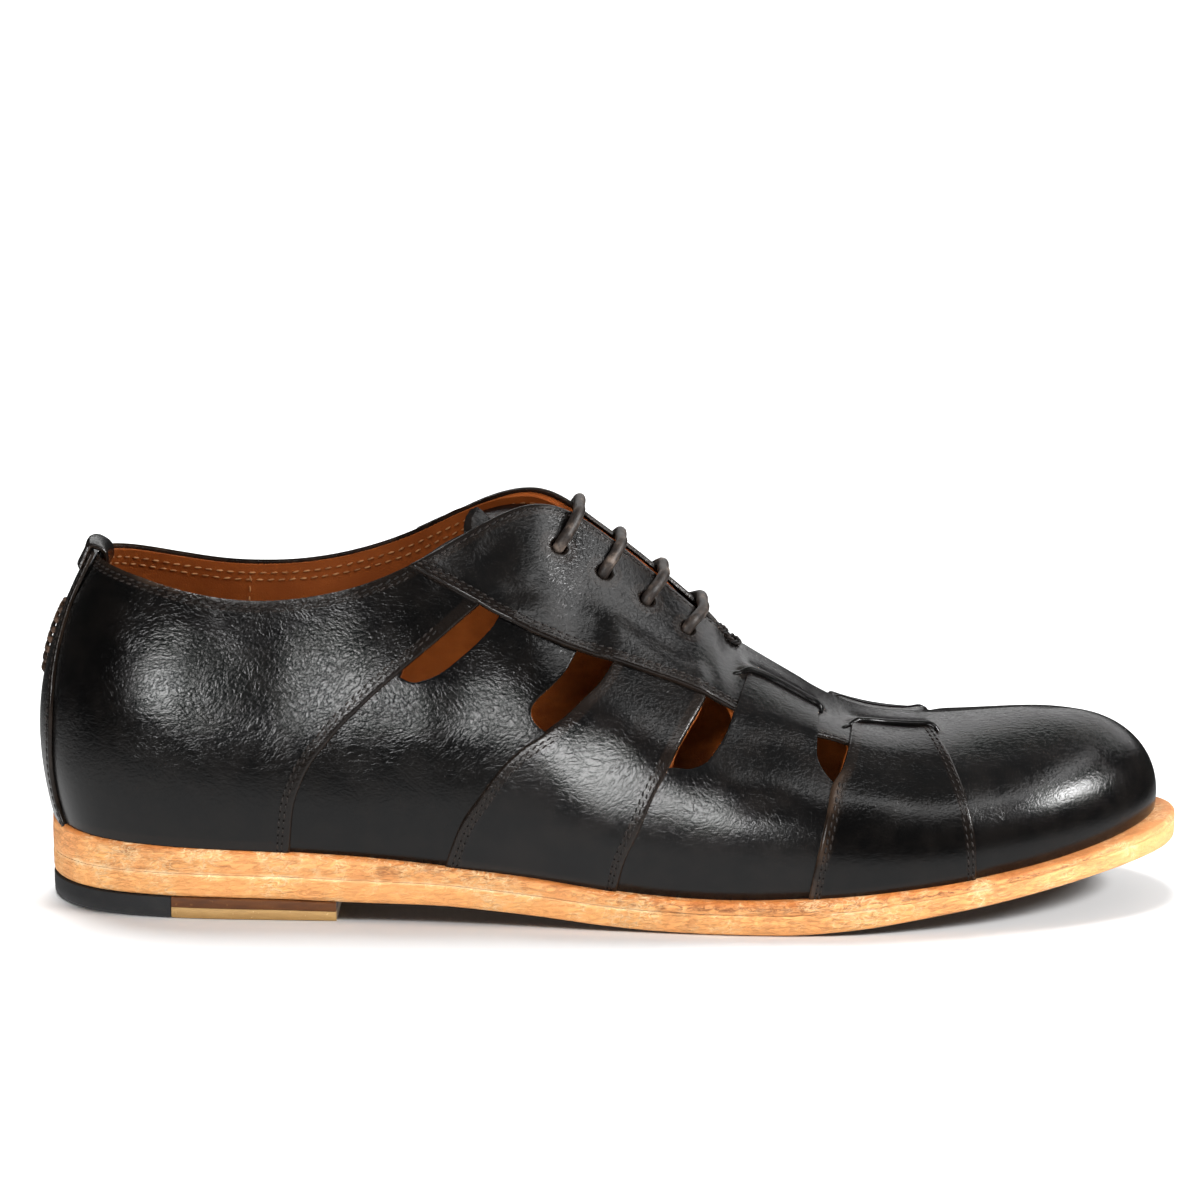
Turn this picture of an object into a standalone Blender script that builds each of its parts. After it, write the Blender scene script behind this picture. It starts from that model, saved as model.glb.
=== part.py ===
"""Right oxford shoe with straps woven through slits on its ridge, as an assembly of solids.

All sizes below are in millimetres and MM turns them into metres. The toe points along +X,
the outer (lateral) side faces -Y, and the shoe stands on z = 0.
"""
from collections import namedtuple

import bmesh
import bpy
import numpy as np

MM = 0.001
SHOE = "oxford_shoe"
MIDDLE_X = 150.6           # from the heel's back end to the middle of the shoe
GAP = 0.3                  # clearance between pieces that touch
SHEET_GAP = 0.55           # the same between curved sheets
WALL = 2.0                 # leather and lining of the upper
OVERLAY = 1.1              # leather of quarters and straps
FACING = 1.4               # folded leather of eyestays and spine
BACKSTAY = 1.3
INSOLE = 2.4
INSOLE_INSET = WALL + 0.6
TOE_SWING = 3.0            # how far the toe's middle line runs to the inner side
SWING_START = 150.0
SWING_LENGTH = 144.0
LIFT_SHARE = 0.5           # lower layer's share of the heel's height
HEEL_SPLIT = 2.86          # station between the rubber quarter and the layers
HEEL_FRONT = 4.74          # station of the heel's breast
HEEL_SEAM = 0.02           # in stations
THROAT_END = 12.0          # station where the two sides meet on the ridge
LAST_STATION = 19.0
LACE_DIAMETER = 3.1
LATERAL, MEDIAL = -1, 1

# Seat line where the upper meets the sole, and the sole below it. A row for each station from
# the heel's back to the toe: place, half widths, seat height, welt's reach, tread height and
# thickness of the outsole.
Seat = namedtuple("Seat", "x lateral medial z welt tread outsole")
SEAT = [
    Seat(1.5, 0.0, 0.0, 22.2, 2.6, 6.0, 6.2),
    Seat(7.0, 17.0, 16.5, 21.4, 2.0, 6.0, 6.2),
    Seat(19.0, 26.6, 26.0, 20.4, 1.8, 5.9, 6.2),
    Seat(37.0, 31.6, 30.5, 19.6, 1.8, 5.8, 6.2),
    Seat(60.0, 33.4, 31.0, 18.8, 2.0, 5.6, 6.2),
    Seat(84.0, 34.6, 29.5, 17.5, 2.2, 4.9, 6.1),
    Seat(104.0, 36.2, 28.3, 15.8, 2.4, 4.6, 5.9),
    Seat(120.0, 38.0, 28.4, 14.3, 2.6, 3.6, 5.7),
    Seat(134.0, 40.2, 30.0, 12.8, 2.8, 2.5, 5.6),
    Seat(148.0, 42.8, 33.0, 11.0, 3.0, 1.2, 5.5),
    Seat(163.0, 45.4, 37.5, 9.7, 3.0, 0.3, 5.4),
    Seat(179.0, 47.8, 42.8, 9.2, 3.0, 0.0, 5.4),
    Seat(195.0, 49.2, 46.6, 9.6, 3.0, 0.0, 5.4),
    Seat(213.0, 49.2, 48.2, 10.6, 3.0, 1.2, 5.3),
    Seat(231.0, 46.8, 47.6, 12.0, 3.2, 3.6, 5.1),
    Seat(249.0, 42.4, 44.4, 13.8, 3.5, 6.2, 4.9),
    Seat(266.0, 36.2, 38.4, 16.2, 4.0, 9.2, 4.7),
    Seat(281.5, 27.0, 29.2, 18.9, 4.6, 11.9, 4.6),
    Seat(293.6, 14.6, 16.2, 21.3, 5.4, 13.7, 4.6),
    Seat(298.6, 0.0, 0.0, 22.4, 5.6, 14.4, 4.6),
]

# Topline of collar and throat, then the ridge down to the toe, at the same stations.
Top = namedtuple("Top", "x middle half_gap z medial_rise")
TOP = [
    Top(13.0, 0.0, 0.0, 93.6, 0.0),
    Top(15.5, 0.0, 12.0, 92.8, 0.2),
    Top(25.0, 0.0, 20.5, 90.2, 0.4),
    Top(41.0, 0.0, 25.6, 86.2, 0.8),
    Top(60.0, 0.0, 27.4, 84.6, 1.2),
    Top(80.0, 0.0, 27.4, 87.4, 1.2),
    Top(97.0, 0.0, 25.2, 93.5, 1.2),
    Top(113.0, 0.2, 18.4, 101.7, 1.6),
    Top(130.0, 0.4, 10.5, 107.2, 0.8),
    Top(145.0, 0.6, 4.8, 100.5, 0.3),
    Top(160.0, 0.9, 4.2, 88.5, 0.8),
    Top(173.0, 1.2, 3.4, 76.9, 1.2),
    Top(183.0, 1.6, 0.0, 68.8, 0.0),
    Top(199.0, 2.0, 0.0, 59.0, 0.0),
    Top(217.0, 2.4, 0.0, 49.9, 0.0),
    Top(235.0, 2.8, 0.0, 48.0, 0.0),
    Top(250.0, 3.2, 0.0, 48.7, 0.0),
    Top(261.0, 3.4, 0.0, 49.4, 0.0),
    Top(268.0, 3.4, 0.0, 49.3, 0.0),
    Top(272.0, 3.4, 0.0, 49.2, 0.0),
]

# Curve of each section between seat and top: share and lean (degrees) of its lower handle,
# share and drop (degrees) of its upper one.
Curve = namedtuple("Curve", "low lean high drop")
CURVE = [
    Curve(0.42, 14, 0.36, 62),
    Curve(0.42, 14, 0.36, 64),
    Curve(0.42, 15, 0.36, 68),
    Curve(0.42, 15, 0.36, 74),
    Curve(0.42, 15, 0.36, 78),
    Curve(0.42, 15, 0.36, 78),
    Curve(0.42, 15, 0.36, 72),
    Curve(0.42, 15, 0.36, 62),
    Curve(0.42, 15, 0.38, 50),
    Curve(0.42, 16, 0.38, 44),
    Curve(0.42, 17, 0.38, 36),
    Curve(0.42, 18, 0.40, 24),
    Curve(0.42, 18, 0.42, 13),
    Curve(0.42, 18, 0.44, 7),
    Curve(0.42, 18, 0.46, 5),
    Curve(0.42, 18, 0.48, 4),
    Curve(0.42, 16, 0.49, 3),
    Curve(0.40, 14, 0.50, 2),
    Curve(0.38, 12, 0.50, 1),
    Curve(0.38, 11, 0.50, 1),
]

# Seams on the upper, each a row of places: station along the shoe, and rise from the seat line
# (0) to the topline or ridge (1). Both sides of the shoe are alike.
Place = namedtuple("Place", "station rise")
QUARTER_FRONT = [
    Place(4.23, 0.012), Place(4.26, 0.08), Place(4.32, 0.18), Place(4.44, 0.29), Place(4.69, 0.41),
    Place(5.17, 0.55), Place(5.75, 0.645), Place(6.40, 0.71), Place(6.98, 0.755), Place(6.75, 0.82),
    Place(6.40, 0.89), Place(6.04, 0.965), Place(5.98, 0.99),
]
STRAP_MID_REAR = [
    Place(6.16, 0.012), Place(6.29, 0.062), Place(6.50, 0.138), Place(6.84, 0.21), Place(7.26, 0.278),
    Place(7.67, 0.325), Place(8.18, 0.372), Place(8.58, 0.425), Place(8.88, 0.478), Place(9.40, 0.60),
]
STRAP_MID_FRONT = [
    Place(9.28, 0.012), Place(9.45, 0.075), Place(9.60, 0.12), Place(9.75, 0.17), Place(9.92, 0.225),
    Place(10.06, 0.28), Place(10.32, 0.367), Place(10.51, 0.432), Place(10.80, 0.527), Place(11.11, 0.62),
]
STRAP_FRONT_REAR = [
    Place(12.39, 0.012), Place(12.45, 0.058), Place(12.60, 0.173), Place(12.79, 0.297),
    Place(12.95, 0.398), Place(13.14, 0.470), Place(13.30, 0.552), Place(13.45, 0.647),
    Place(13.57, 0.735),
]
STRAP_FRONT_FRONT = [
    Place(14.84, 0.012), Place(14.81, 0.077), Place(14.79, 0.190), Place(14.77, 0.312),
    Place(14.77, 0.420), Place(14.78, 0.535), Place(14.80, 0.665), Place(14.83, 0.765),
    Place(14.86, 0.865),
]
BACKSTAY_EDGE = [
    Place(0.78, 0.012), Place(0.74, 0.15), Place(0.80, 0.30), Place(0.79, 0.45), Place(0.70, 0.60),
    Place(0.61, 0.74), Place(0.56, 0.88), Place(0.60, 0.985),
]
FACING_LOW = [
    Place(6.10, 0.985), Place(6.55, 0.888), Place(7.04, 0.79), Place(7.52, 0.703), Place(8.03, 0.647),
    Place(8.57, 0.623), Place(9.11, 0.625), Place(9.63, 0.633), Place(10.15, 0.645),
    Place(10.69, 0.657), Place(11.29, 0.650), Place(11.70, 0.635), Place(11.94, 0.83),
    Place(12.21, 0.86), Place(12.70, 0.873), Place(13.20, 0.873), Place(13.28, 0.637),
    Place(13.40, 0.637), Place(13.58, 0.795), Place(13.82, 0.855), Place(14.23, 0.91),
    Place(14.60, 0.915), Place(14.95, 0.915),
]
FACING_CELL = Place(0.5, 0.08)     # largest step between the facing's sections
CUT_OUTS = [
    [Place(5.80, 0.640), Place(5.95, 0.613), Place(6.19, 0.605), Place(6.45, 0.610), Place(6.80, 0.633),
     Place(7.16, 0.662), Place(7.46, 0.702), Place(7.30, 0.728), Place(7.11, 0.752), Place(6.50, 0.715),
     Place(6.15, 0.688)],
    [Place(8.18, 0.376), Place(8.58, 0.427), Place(8.88, 0.480), Place(9.23, 0.552), Place(9.42, 0.610),
     Place(9.20, 0.620), Place(8.97, 0.616), Place(8.65, 0.552), Place(8.30, 0.490), Place(8.08, 0.460),
     Place(7.95, 0.432), Place(7.97, 0.405), Place(8.07, 0.386)],
    [Place(10.38, 0.374), Place(10.51, 0.432), Place(10.80, 0.527), Place(11.13, 0.630),
     Place(11.45, 0.640), Place(11.71, 0.617), Place(11.47, 0.525), Place(11.22, 0.467),
     Place(10.98, 0.418), Place(10.71, 0.389), Place(10.50, 0.377)],
    [Place(12.97, 0.409), Place(12.90, 0.450), Place(12.88, 0.495), Place(12.93, 0.562),
     Place(12.99, 0.617), Place(13.19, 0.629), Place(13.40, 0.623), Place(13.30, 0.552),
     Place(13.14, 0.470), Place(13.04, 0.426)],
]
# A strap lies between two seams, on a grid that may crowd towards the rear one.
Strap = namedtuple("Strap", "name rear front across up crowd")
CUT_OUTSIDE = 5.0          # reach of a cut-out's cutter to each side of the wall
CUT_INSIDE = 6.0

# Tongue: rise of its edges and of the place where it leaves the wall, at its stations.
TongueRow = namedtuple("TongueRow", "station edge leave")
TONGUE = [
    TongueRow(6.95, 0.93, 1.00), TongueRow(7.40, 0.87, 1.00), TongueRow(7.90, 0.82, 1.00),
    TongueRow(8.50, 0.78, 1.00), TongueRow(9.20, 0.77, 1.00), TongueRow(9.90, 0.76, 1.00),
    TongueRow(10.60, 0.77, 1.00), TongueRow(11.20, 0.78, 0.98), TongueRow(11.80, 0.80, 0.95),
    TongueRow(12.40, 0.82, 0.93),
]
TONGUE_THICKNESS = 1.5
TONGUE_GAP = 0.6
TONGUE_CROWN = 0.10        # rise of the free middle, as a share of its width

EYELET_STATIONS = [8.48, 9.29, 10.05, 10.83]
LACE_MIDDLE = 0.8          # rise of a bar's middle above its shoulders

# Half of a lace bar: rise on the upper and height above the facing, from eyelet to throat.
LaceRow = namedtuple("LaceRow", "rise height")
LACE_RISE = [LaceRow(0.89, 0.0), LaceRow(0.895, 1.55), LaceRow(0.92, 4.2), LaceRow(0.97, 5.2)]

Finish = namedtuple("Finish", "colour roughness")
BLACK_LEATHER = Finish((0.012, 0.011, 0.011), 0.28)
TAN_LEATHER = Finish((0.26, 0.075, 0.018), 0.55)
SOLE_LEATHER = Finish((0.60, 0.32, 0.13), 0.45)
LIFT_LEATHER = Finish((0.22, 0.12, 0.065), 0.5)
TOP_PIECE_LEATHER = Finish((0.50, 0.32, 0.11), 0.5)
RUBBER = Finish((0.02, 0.02, 0.022), 0.7)
LACE_CORD = Finish((0.085, 0.06, 0.048), 0.6)


def spline(values, at, odd=False):
    """Smooth cubic through a column at whole stations, mirrored past the heel and the toe."""
    column = np.asarray(values, float)
    last = len(column) - 1
    sign = -1.0 if odd else 1.0
    knots = np.concatenate([sign * column[:0:-1], column, sign * column[-2::-1]])
    count = len(knots)
    system = np.eye(count)
    bend = np.zeros(count)
    for row in range(1, count - 1):
        system[row, row - 1:row + 2] = (1.0, 4.0, 1.0)
        bend[row] = 6.0 * (knots[row - 1] - 2.0 * knots[row] + knots[row + 1])
    second = np.linalg.solve(system, bend)
    place = np.asarray(at, float) + last
    left = np.clip(np.floor(place).astype(int), 0, count - 2)
    part = place - left
    rest = 1.0 - part
    curved = (rest ** 3 - rest) * second[left] + (part ** 3 - part) * second[left + 1]
    return rest * knots[left] + part * knots[left + 1] + curved / 6.0


def steady(values, at):
    """Cubic through a column at whole stations that never overshoots its rows."""
    column = np.asarray(values, float)
    step = np.diff(column)
    slope = np.zeros(len(column))
    slope[0] = step[0]
    for row in range(1, len(column) - 1):
        if step[row - 1] * step[row] > 0.0:
            slope[row] = 2.0 * step[row - 1] * step[row] / (step[row - 1] + step[row])
    place = np.clip(np.asarray(at, float), 0.0, len(column) - 1.0)
    left = np.clip(np.floor(place).astype(int), 0, len(column) - 2)
    part = place - left
    rest = 1.0 - part
    return ((1.0 + 2.0 * part) * rest ** 2 * column[left] + part * rest ** 2 * slope[left]
            + part ** 2 * (3.0 - 2.0 * part) * column[left + 1] - part ** 2 * rest * slope[left + 1])


def column(rows, name):
    return [getattr(row, name) for row in rows]


def seat_line(station, side):
    """Point where the upper meets the sole."""
    x = spline(column(SEAT, "x"), station)
    half = spline(column(SEAT, "lateral" if side == LATERAL else "medial"), station, odd=True)
    z = spline(column(SEAT, "z"), station)
    swing = TOE_SWING * np.clip((x - SWING_START) / SWING_LENGTH, 0.0, 1.0) ** 2
    return np.stack([x, swing + side * half, z], -1)


def topline(station, side):
    """Point on the collar's, throat's or ridge's line."""
    station = np.asarray(station, float)
    gap = np.sign(station) * steady(column(TOP, "half_gap"), np.abs(station))
    z = spline(column(TOP, "z"), station)
    if side == MEDIAL:
        z = z + steady(column(TOP, "medial_rise"), station)
    x = spline(column(TOP, "x"), station)
    return np.stack([x, spline(column(TOP, "middle"), station) + side * gap, z], -1)


def outward(station, side):
    """Flat direction away from the shoe, square to the seat line."""
    step = 1e-3
    station = np.asarray(station, float)
    run = seat_line(station + step, side) - seat_line(station - step, side)
    run[..., 2] = 0.0
    run /= np.linalg.norm(run, axis=-1, keepdims=True)
    return np.stack([-side * run[..., 1], side * run[..., 0], np.zeros_like(run[..., 0])], -1)


def upper_point(station, rise, side):
    """Outer surface of the upper."""
    station, rise = np.broadcast_arrays(np.asarray(station, float), np.asarray(rise, float))
    low = seat_line(station, side)
    high = topline(station, side)
    out = outward(station, side)
    up = np.array([0.0, 0.0, 1.0])
    reach = np.linalg.norm(high - low, axis=-1, keepdims=True)
    lean = np.radians(spline(column(CURVE, "lean"), station))[..., None]
    drop = np.radians(spline(column(CURVE, "drop"), station))[..., None]
    low_share = spline(column(CURVE, "low"), station)[..., None]
    high_share = spline(column(CURVE, "high"), station)[..., None]
    low_handle = low + low_share * reach * (np.cos(lean) * up + np.sin(lean) * out)
    high_handle = high + high_share * reach * (np.cos(drop) * out - np.sin(drop) * up)
    t = rise[..., None]
    s = 1.0 - t
    return s ** 3 * low + 3.0 * s * s * t * low_handle + 3.0 * s * t * t * high_handle + t ** 3 * high


def side_normal(station, rise, side):
    """Direction out of one side's surface."""
    step = 1e-3
    along = upper_point(station + step, rise, side) - upper_point(station - step, rise, side)
    rising = upper_point(station, rise + step, side) - upper_point(station, rise - step, side)
    normal = -side * np.cross(along, rising)
    return normal / np.linalg.norm(normal, axis=-1, keepdims=True)


def upper_normal(station, rise, side):
    """Direction out of the upper's surface, shared by both sides along the ridge and the back."""
    station, rise = np.broadcast_arrays(np.asarray(station, float), np.asarray(rise, float))
    own = side_normal(station, rise, side)
    shared = own + side_normal(station, rise, -side)
    shared /= np.linalg.norm(shared, axis=-1, keepdims=True)
    on_ridge = (rise > 0.999) & (station >= THROAT_END)
    on_end = (station < 0.001) | (station > LAST_STATION - 0.001)
    return np.where((on_ridge | on_end)[..., None], shared, own)


def raised(station, rise, side, height):
    """Point at a height above the upper's outer surface."""
    return upper_point(station, rise, side) + height * upper_normal(station, rise, side)


def along_places(places, count):
    """Points at even shares of a smooth line through a seam's places, as stations and rises."""
    knots = np.array(places, float)
    share = np.concatenate([[0.0], np.cumsum(np.linalg.norm(np.diff(knots, axis=0) * (1.0, 4.0), axis=1))])
    slope = np.gradient(knots, share, axis=0)
    at = np.linspace(0.0, share[-1], count)
    left = np.clip(np.searchsorted(share, at, side="right") - 1, 0, len(knots) - 2)
    span = (share[left + 1] - share[left])[:, None]
    part = ((at - share[left])[:, None]) / span
    rest = 1.0 - part
    return ((1.0 + 2.0 * part) * rest ** 2 * knots[left] + part * rest ** 2 * span * slope[left]
            + part ** 2 * (3.0 - 2.0 * part) * knots[left + 1] - part ** 2 * rest * span * slope[left + 1])


def fresh_collection(name):
    group = bpy.data.collections.get(name) or bpy.data.collections.new(name)
    if name not in bpy.context.scene.collection.children:
        bpy.context.scene.collection.children.link(group)
    return group


def leather_material(name, finish):
    material = bpy.data.materials.new(name)
    material.use_nodes = True
    shader = material.node_tree.nodes["Principled BSDF"]
    shader.inputs["Base Color"].default_value = (*finish.colour, 1.0)
    shader.inputs["Roughness"].default_value = finish.roughness
    shader.inputs["Metallic"].default_value = 0.0
    return material


def place_object(name, data, finish):
    data.materials.append(leather_material(name, finish))
    piece = bpy.data.objects.new(name, data)
    PARTS.objects.link(piece)
    return piece


def mesh_from_grids(name, grids, closed=False):
    """Mesh of point grids with shared points merged. Open grids are wound outwards already."""
    form = bmesh.new()
    for points, flip in grids:
        rows, columns = points.shape[:2]
        place = (points.reshape(-1, 3) - (MIDDLE_X, 0.0, 0.0)) * MM
        corners = [form.verts.new(co) for co in place]
        for row in range(rows - 1):
            for cell in range(columns - 1):
                first = row * columns + cell
                loop = [corners[first + turn] for turn in (0, columns, columns + 1, 1)]
                form.faces.new(loop[::-1] if flip else loop)
    bmesh.ops.remove_doubles(form, verts=form.verts, dist=1e-6)
    bmesh.ops.dissolve_degenerate(form, edges=form.edges, dist=1e-7)
    if closed:
        bmesh.ops.recalc_face_normals(form, faces=form.faces)
    data = bpy.data.meshes.new(name)
    form.to_mesh(data)
    form.free()
    data.shade_smooth()
    data.set_sharp_from_angle(angle=0.6)
    return data


def thicken(piece, thickness, offset):
    shell = piece.modifiers.new("leather", "SOLIDIFY")
    shell.thickness = thickness * MM
    shell.offset = offset
    shell.use_even_offset = False
    return shell


def sheet(name, grids, thickness, finish, offset=1.0):
    """Leather laid on the upper: a sheet just clear of it, thickened away from it."""
    piece = place_object(name, mesh_from_grids(name, grids), finish)
    thicken(piece, thickness, offset)
    return piece


def strap_grid(rear, front, side, across, up, crowd):
    """Grid between a strap's rear and front seams, and whether its winding is turned."""
    back = along_places(rear, up)
    fore = along_places(front, up)
    share = np.linspace(0.0, 1.0, across)[:, None, None] ** crowd
    places = (1.0 - share) * back + share * fore
    return raised(places[..., 0], places[..., 1], side, SHEET_GAP), side == MEDIAL


UPPER_STATIONS = np.concatenate([
    np.linspace(0.0, 2.0, 8), np.linspace(2.5, 11.1, 18), [11.6], np.linspace(12.0, 17.0, 11),
    np.linspace(17.4, LAST_STATION, 5)])
UPPER_RISES = np.linspace(0.0, 1.0, 10)


def cut_out_cutter(name, places, side):
    """Closed form through the wall, its outline a smooth loop on the upper's surface."""
    loop = along_places([*places, places[0]], len(places) + 5)[:-1]
    station, rise = loop[:, 0], loop[:, 1]
    rings = [raised(station, rise, side, CUT_OUTSIDE), raised(station, rise, side, -CUT_INSIDE)]
    form = bmesh.new()
    corners = [[form.verts.new((point - (MIDDLE_X, 0.0, 0.0)) * MM) for point in ring] for ring in rings]
    count = len(station)
    for index in range(count):
        follow = (index + 1) % count
        form.faces.new([corners[0][index], corners[0][follow], corners[1][follow], corners[1][index]])
    for ring in corners:
        form.faces.new(ring)
    bmesh.ops.triangulate(form, faces=form.faces)
    bmesh.ops.recalc_face_normals(form, faces=form.faces)
    data = bpy.data.meshes.new(name)
    form.to_mesh(data)
    form.free()
    cutter = bpy.data.objects.new(name, data)
    cutter.hide_render = True
    cutter.display_type = "WIRE"
    CUTTERS.objects.link(cutter)


def make_upper():
    """Hollow upper: one open surface with a wall, and the cut-outs between the straps."""
    station, rise = UPPER_STATIONS[:, None], UPPER_RISES[None, :]
    grids = [(upper_point(station, rise, side), side == MEDIAL) for side in (LATERAL, MEDIAL)]
    upper = sheet("upper", grids, WALL, BLACK_LEATHER, offset=-1.0)
    for number, places in enumerate(CUT_OUTS, 1):
        cut_out_cutter(f"cut_out_{number}_lateral", places, LATERAL)
        cut_out_cutter(f"cut_out_{number}_medial", places, MEDIAL)
    upper.modifiers.new("facets", "TRIANGULATE")
    cut = upper.modifiers.new("cut_outs", "BOOLEAN")
    cut.operation = "DIFFERENCE"
    cut.operand_type = "COLLECTION"
    cut.collection = CUTTERS


def make_overlays():
    """Quarters and wide straps laid over the wall, one of each a side."""
    quarter_rear = [Place(edge.station + 0.03, edge.rise) for edge in BACKSTAY_EDGE]
    straps = [
        Strap("quarter", quarter_rear, QUARTER_FRONT, 12, 16, 1.4),
        Strap("strap_mid", STRAP_MID_REAR, STRAP_MID_FRONT, 7, 10, 1.0),
        Strap("strap_front", STRAP_FRONT_REAR, STRAP_FRONT_FRONT, 7, 11, 1.0),
    ]
    for strap in straps:
        for side, word in ((LATERAL, "lateral"), (MEDIAL, "medial")):
            grid = strap_grid(strap.rear, strap.front, side, strap.across, strap.up, strap.crowd)
            sheet(f"{strap.name}_{word}", [grid], OVERLAY, BLACK_LEATHER)


def make_facing():
    """Eyestays along the throat and the spine that joins them to the toe."""
    low = np.array(FACING_LOW, float)
    stations = [THROAT_END]
    for start, end in zip(low, low[1:]):
        cells = np.abs(end - start) / FACING_CELL
        stations.extend(np.linspace(start[0], end[0], int(np.ceil(cells.max())) + 1))
    stations = np.unique(np.round(stations, 4))
    edge = np.interp(stations, low[:, 0], low[:, 1])
    share = np.linspace(0.0, 1.0, 4)[None, :]
    top = np.where(stations < THROAT_END - 0.01, 0.996, 1.0)
    rise = edge[:, None] * (1.0 - share) + top[:, None] * share
    grids = [(raised(stations[:, None], rise, side, SHEET_GAP), side == MEDIAL) for side in (LATERAL, MEDIAL)]
    sheet("facing", grids, FACING, BLACK_LEATHER)


def make_backstay():
    """Strip over the back seam."""
    across, up = 4, 12
    edge = along_places(BACKSTAY_EDGE, up)
    share = np.linspace(0.0, 1.0, across)[:, None]
    rise = np.broadcast_to(edge[:, 1], (across, up))
    grids = []
    for side in (LATERAL, MEDIAL):
        grids.append((raised(share * edge[:, 0], rise, side, SHEET_GAP), side == MEDIAL))
    sheet("backstay", grids, BACKSTAY, BLACK_LEATHER)


def make_tongue():
    """Tongue under the facing: it follows the wall at each side and spans the throat."""
    rows = []
    for row in TONGUE:
        halves = []
        for side in (LATERAL, MEDIAL):
            rise = np.linspace(row.edge, row.leave, 4)
            halves.append(raised(row.station, rise, side, -WALL - TONGUE_GAP))
        left, right = halves[0], halves[1][::-1]
        share = np.linspace(0.0, 1.0, 6)[1:-1, None]
        span = np.linalg.norm(right[0] - left[-1])
        crown = np.array([0.0, 0.0, TONGUE_CROWN * span]) * 4.0 * share * (1.0 - share)
        rows.append(np.concatenate([left, left[-1] * (1.0 - share) + right[0] * share + crown, right]))
    sheet("tongue", [(np.array(rows), False)], TONGUE_THICKNESS, BLACK_LEATHER, offset=-1.0)


def sole_ring(stations, side, inset, height):
    """Line round the sole at an inset from its edge."""
    ring = seat_line(stations, side)
    reach = spline(column(SEAT, "welt"), stations) - inset
    ring = ring + reach[:, None] * outward(stations, side)
    ring[:, 2] = height
    return ring


def sole_solid(name, stations, rings, finish):
    """Loft between the two edges of the sole, from its top ring to its bottom ring."""
    lines = []
    for side in (LATERAL, MEDIAL):
        lines.append([sole_ring(stations, side, inset, height) for inset, height in rings])
    grids = [(np.array(ring).transpose(1, 0, 2), False) for ring in lines]
    for level in (0, -1):
        grids.append((np.stack([lines[0][level], lines[1][level]], 1), False))
    for end, closed in ((0, stations[0] <= 0.0), (-1, stations[-1] >= LAST_STATION)):
        if not closed:
            grids.append((np.array([[ring[end] for ring in line] for line in lines]), False))
    return place_object(name, mesh_from_grids(name, grids, closed=True), finish)


def make_sole():
    """Outsole, midsole with welt, insole, and the layers of the low heel."""
    stations = UPPER_STATIONS
    seat = spline(column(SEAT, "z"), stations)
    tread = steady(column(SEAT, "tread"), stations)
    outsole = steady(column(SEAT, "outsole"), stations)
    edge = 0.8
    rings = [(0.0, tread + outsole), (0.0, tread + 2.0 * edge), (edge, tread)]
    sole_solid("outsole", stations, rings, SOLE_LEATHER)
    rings = [(edge, seat - GAP), (0.0, seat - GAP - edge), (0.0, tread + outsole + GAP)]
    sole_solid("midsole", stations, rings, SOLE_LEATHER)
    inner = spline(column(SEAT, "welt"), stations) + INSOLE_INSET
    sole_solid("insole", stations, [(inner, seat + INSOLE), (inner, seat)], TAN_LEATHER)

    rubber = np.linspace(0.0, HEEL_SPLIT, 14)
    layers = np.linspace(HEEL_SPLIT + HEEL_SEAM, HEEL_FRONT, 8)
    top = steady(column(SEAT, "tread"), rubber) - GAP
    sole_solid("heel_rubber", rubber, [(0.0, top), (edge / 2.0, 0.0 * top)], RUBBER)
    top = steady(column(SEAT, "tread"), layers) - GAP
    seam = LIFT_SHARE * top
    sole_solid("heel_lift", layers, [(0.0, top), (edge / 4.0, seam + GAP)], LIFT_LEATHER)
    sole_solid("heel_top_piece", layers, [(edge / 4.0, seam), (edge / 2.0, 0.0 * top)], TOP_PIECE_LEATHER)


def make_pull_loop():
    """Narrow strip folded over the collar above the backstay."""
    width, thickness, stand = 9.0, 1.2, 4.2
    outside = SHEET_GAP + BACKSTAY + GAP + thickness / 2.0
    inside = WALL + 3.0 * GAP + thickness / 2.0
    path = [raised(0.0, rise, LATERAL, outside) for rise in (0.88, 0.93, 0.98)]
    crest = upper_point(0.0, 1.0, LATERAL)
    lean = upper_normal(0.0, 1.0, LATERAL)
    path += [crest + outside * lean + (0.0, 0.0, 1.8), crest + 1.0 * lean + (0.0, 0.0, stand),
             crest - 1.4 * lean + (0.0, 0.0, stand - 0.4), crest - inside * lean + (0.0, 0.0, 1.2)]
    path += [raised(0.0, rise, LATERAL, -inside) for rise in (0.96, 0.91)]
    path = np.array(path)
    run = np.gradient(path, axis=0)
    run /= np.linalg.norm(run, axis=1, keepdims=True)
    side = np.stack([-run[:, 2], np.zeros(len(run)), run[:, 0]], 1) * thickness / 2.0
    across = np.array([0.0, width / 2.0, 0.0])
    upper_face = [path + side - across, path + side + across]
    lower_face = [path - side + across, path - side - across]
    corners = np.stack(upper_face + lower_face, 1)
    loop = np.concatenate([corners, corners[:, :1]], 1)
    ends = [corners[end][[0, 3, 1, 2]].reshape(2, 2, 3) for end in (0, -1)]
    grids = [(loop, False), (ends[0], False), (ends[1], False)]
    place_object("pull_loop", mesh_from_grids("pull_loop", grids, closed=True), BLACK_LEATHER)


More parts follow.
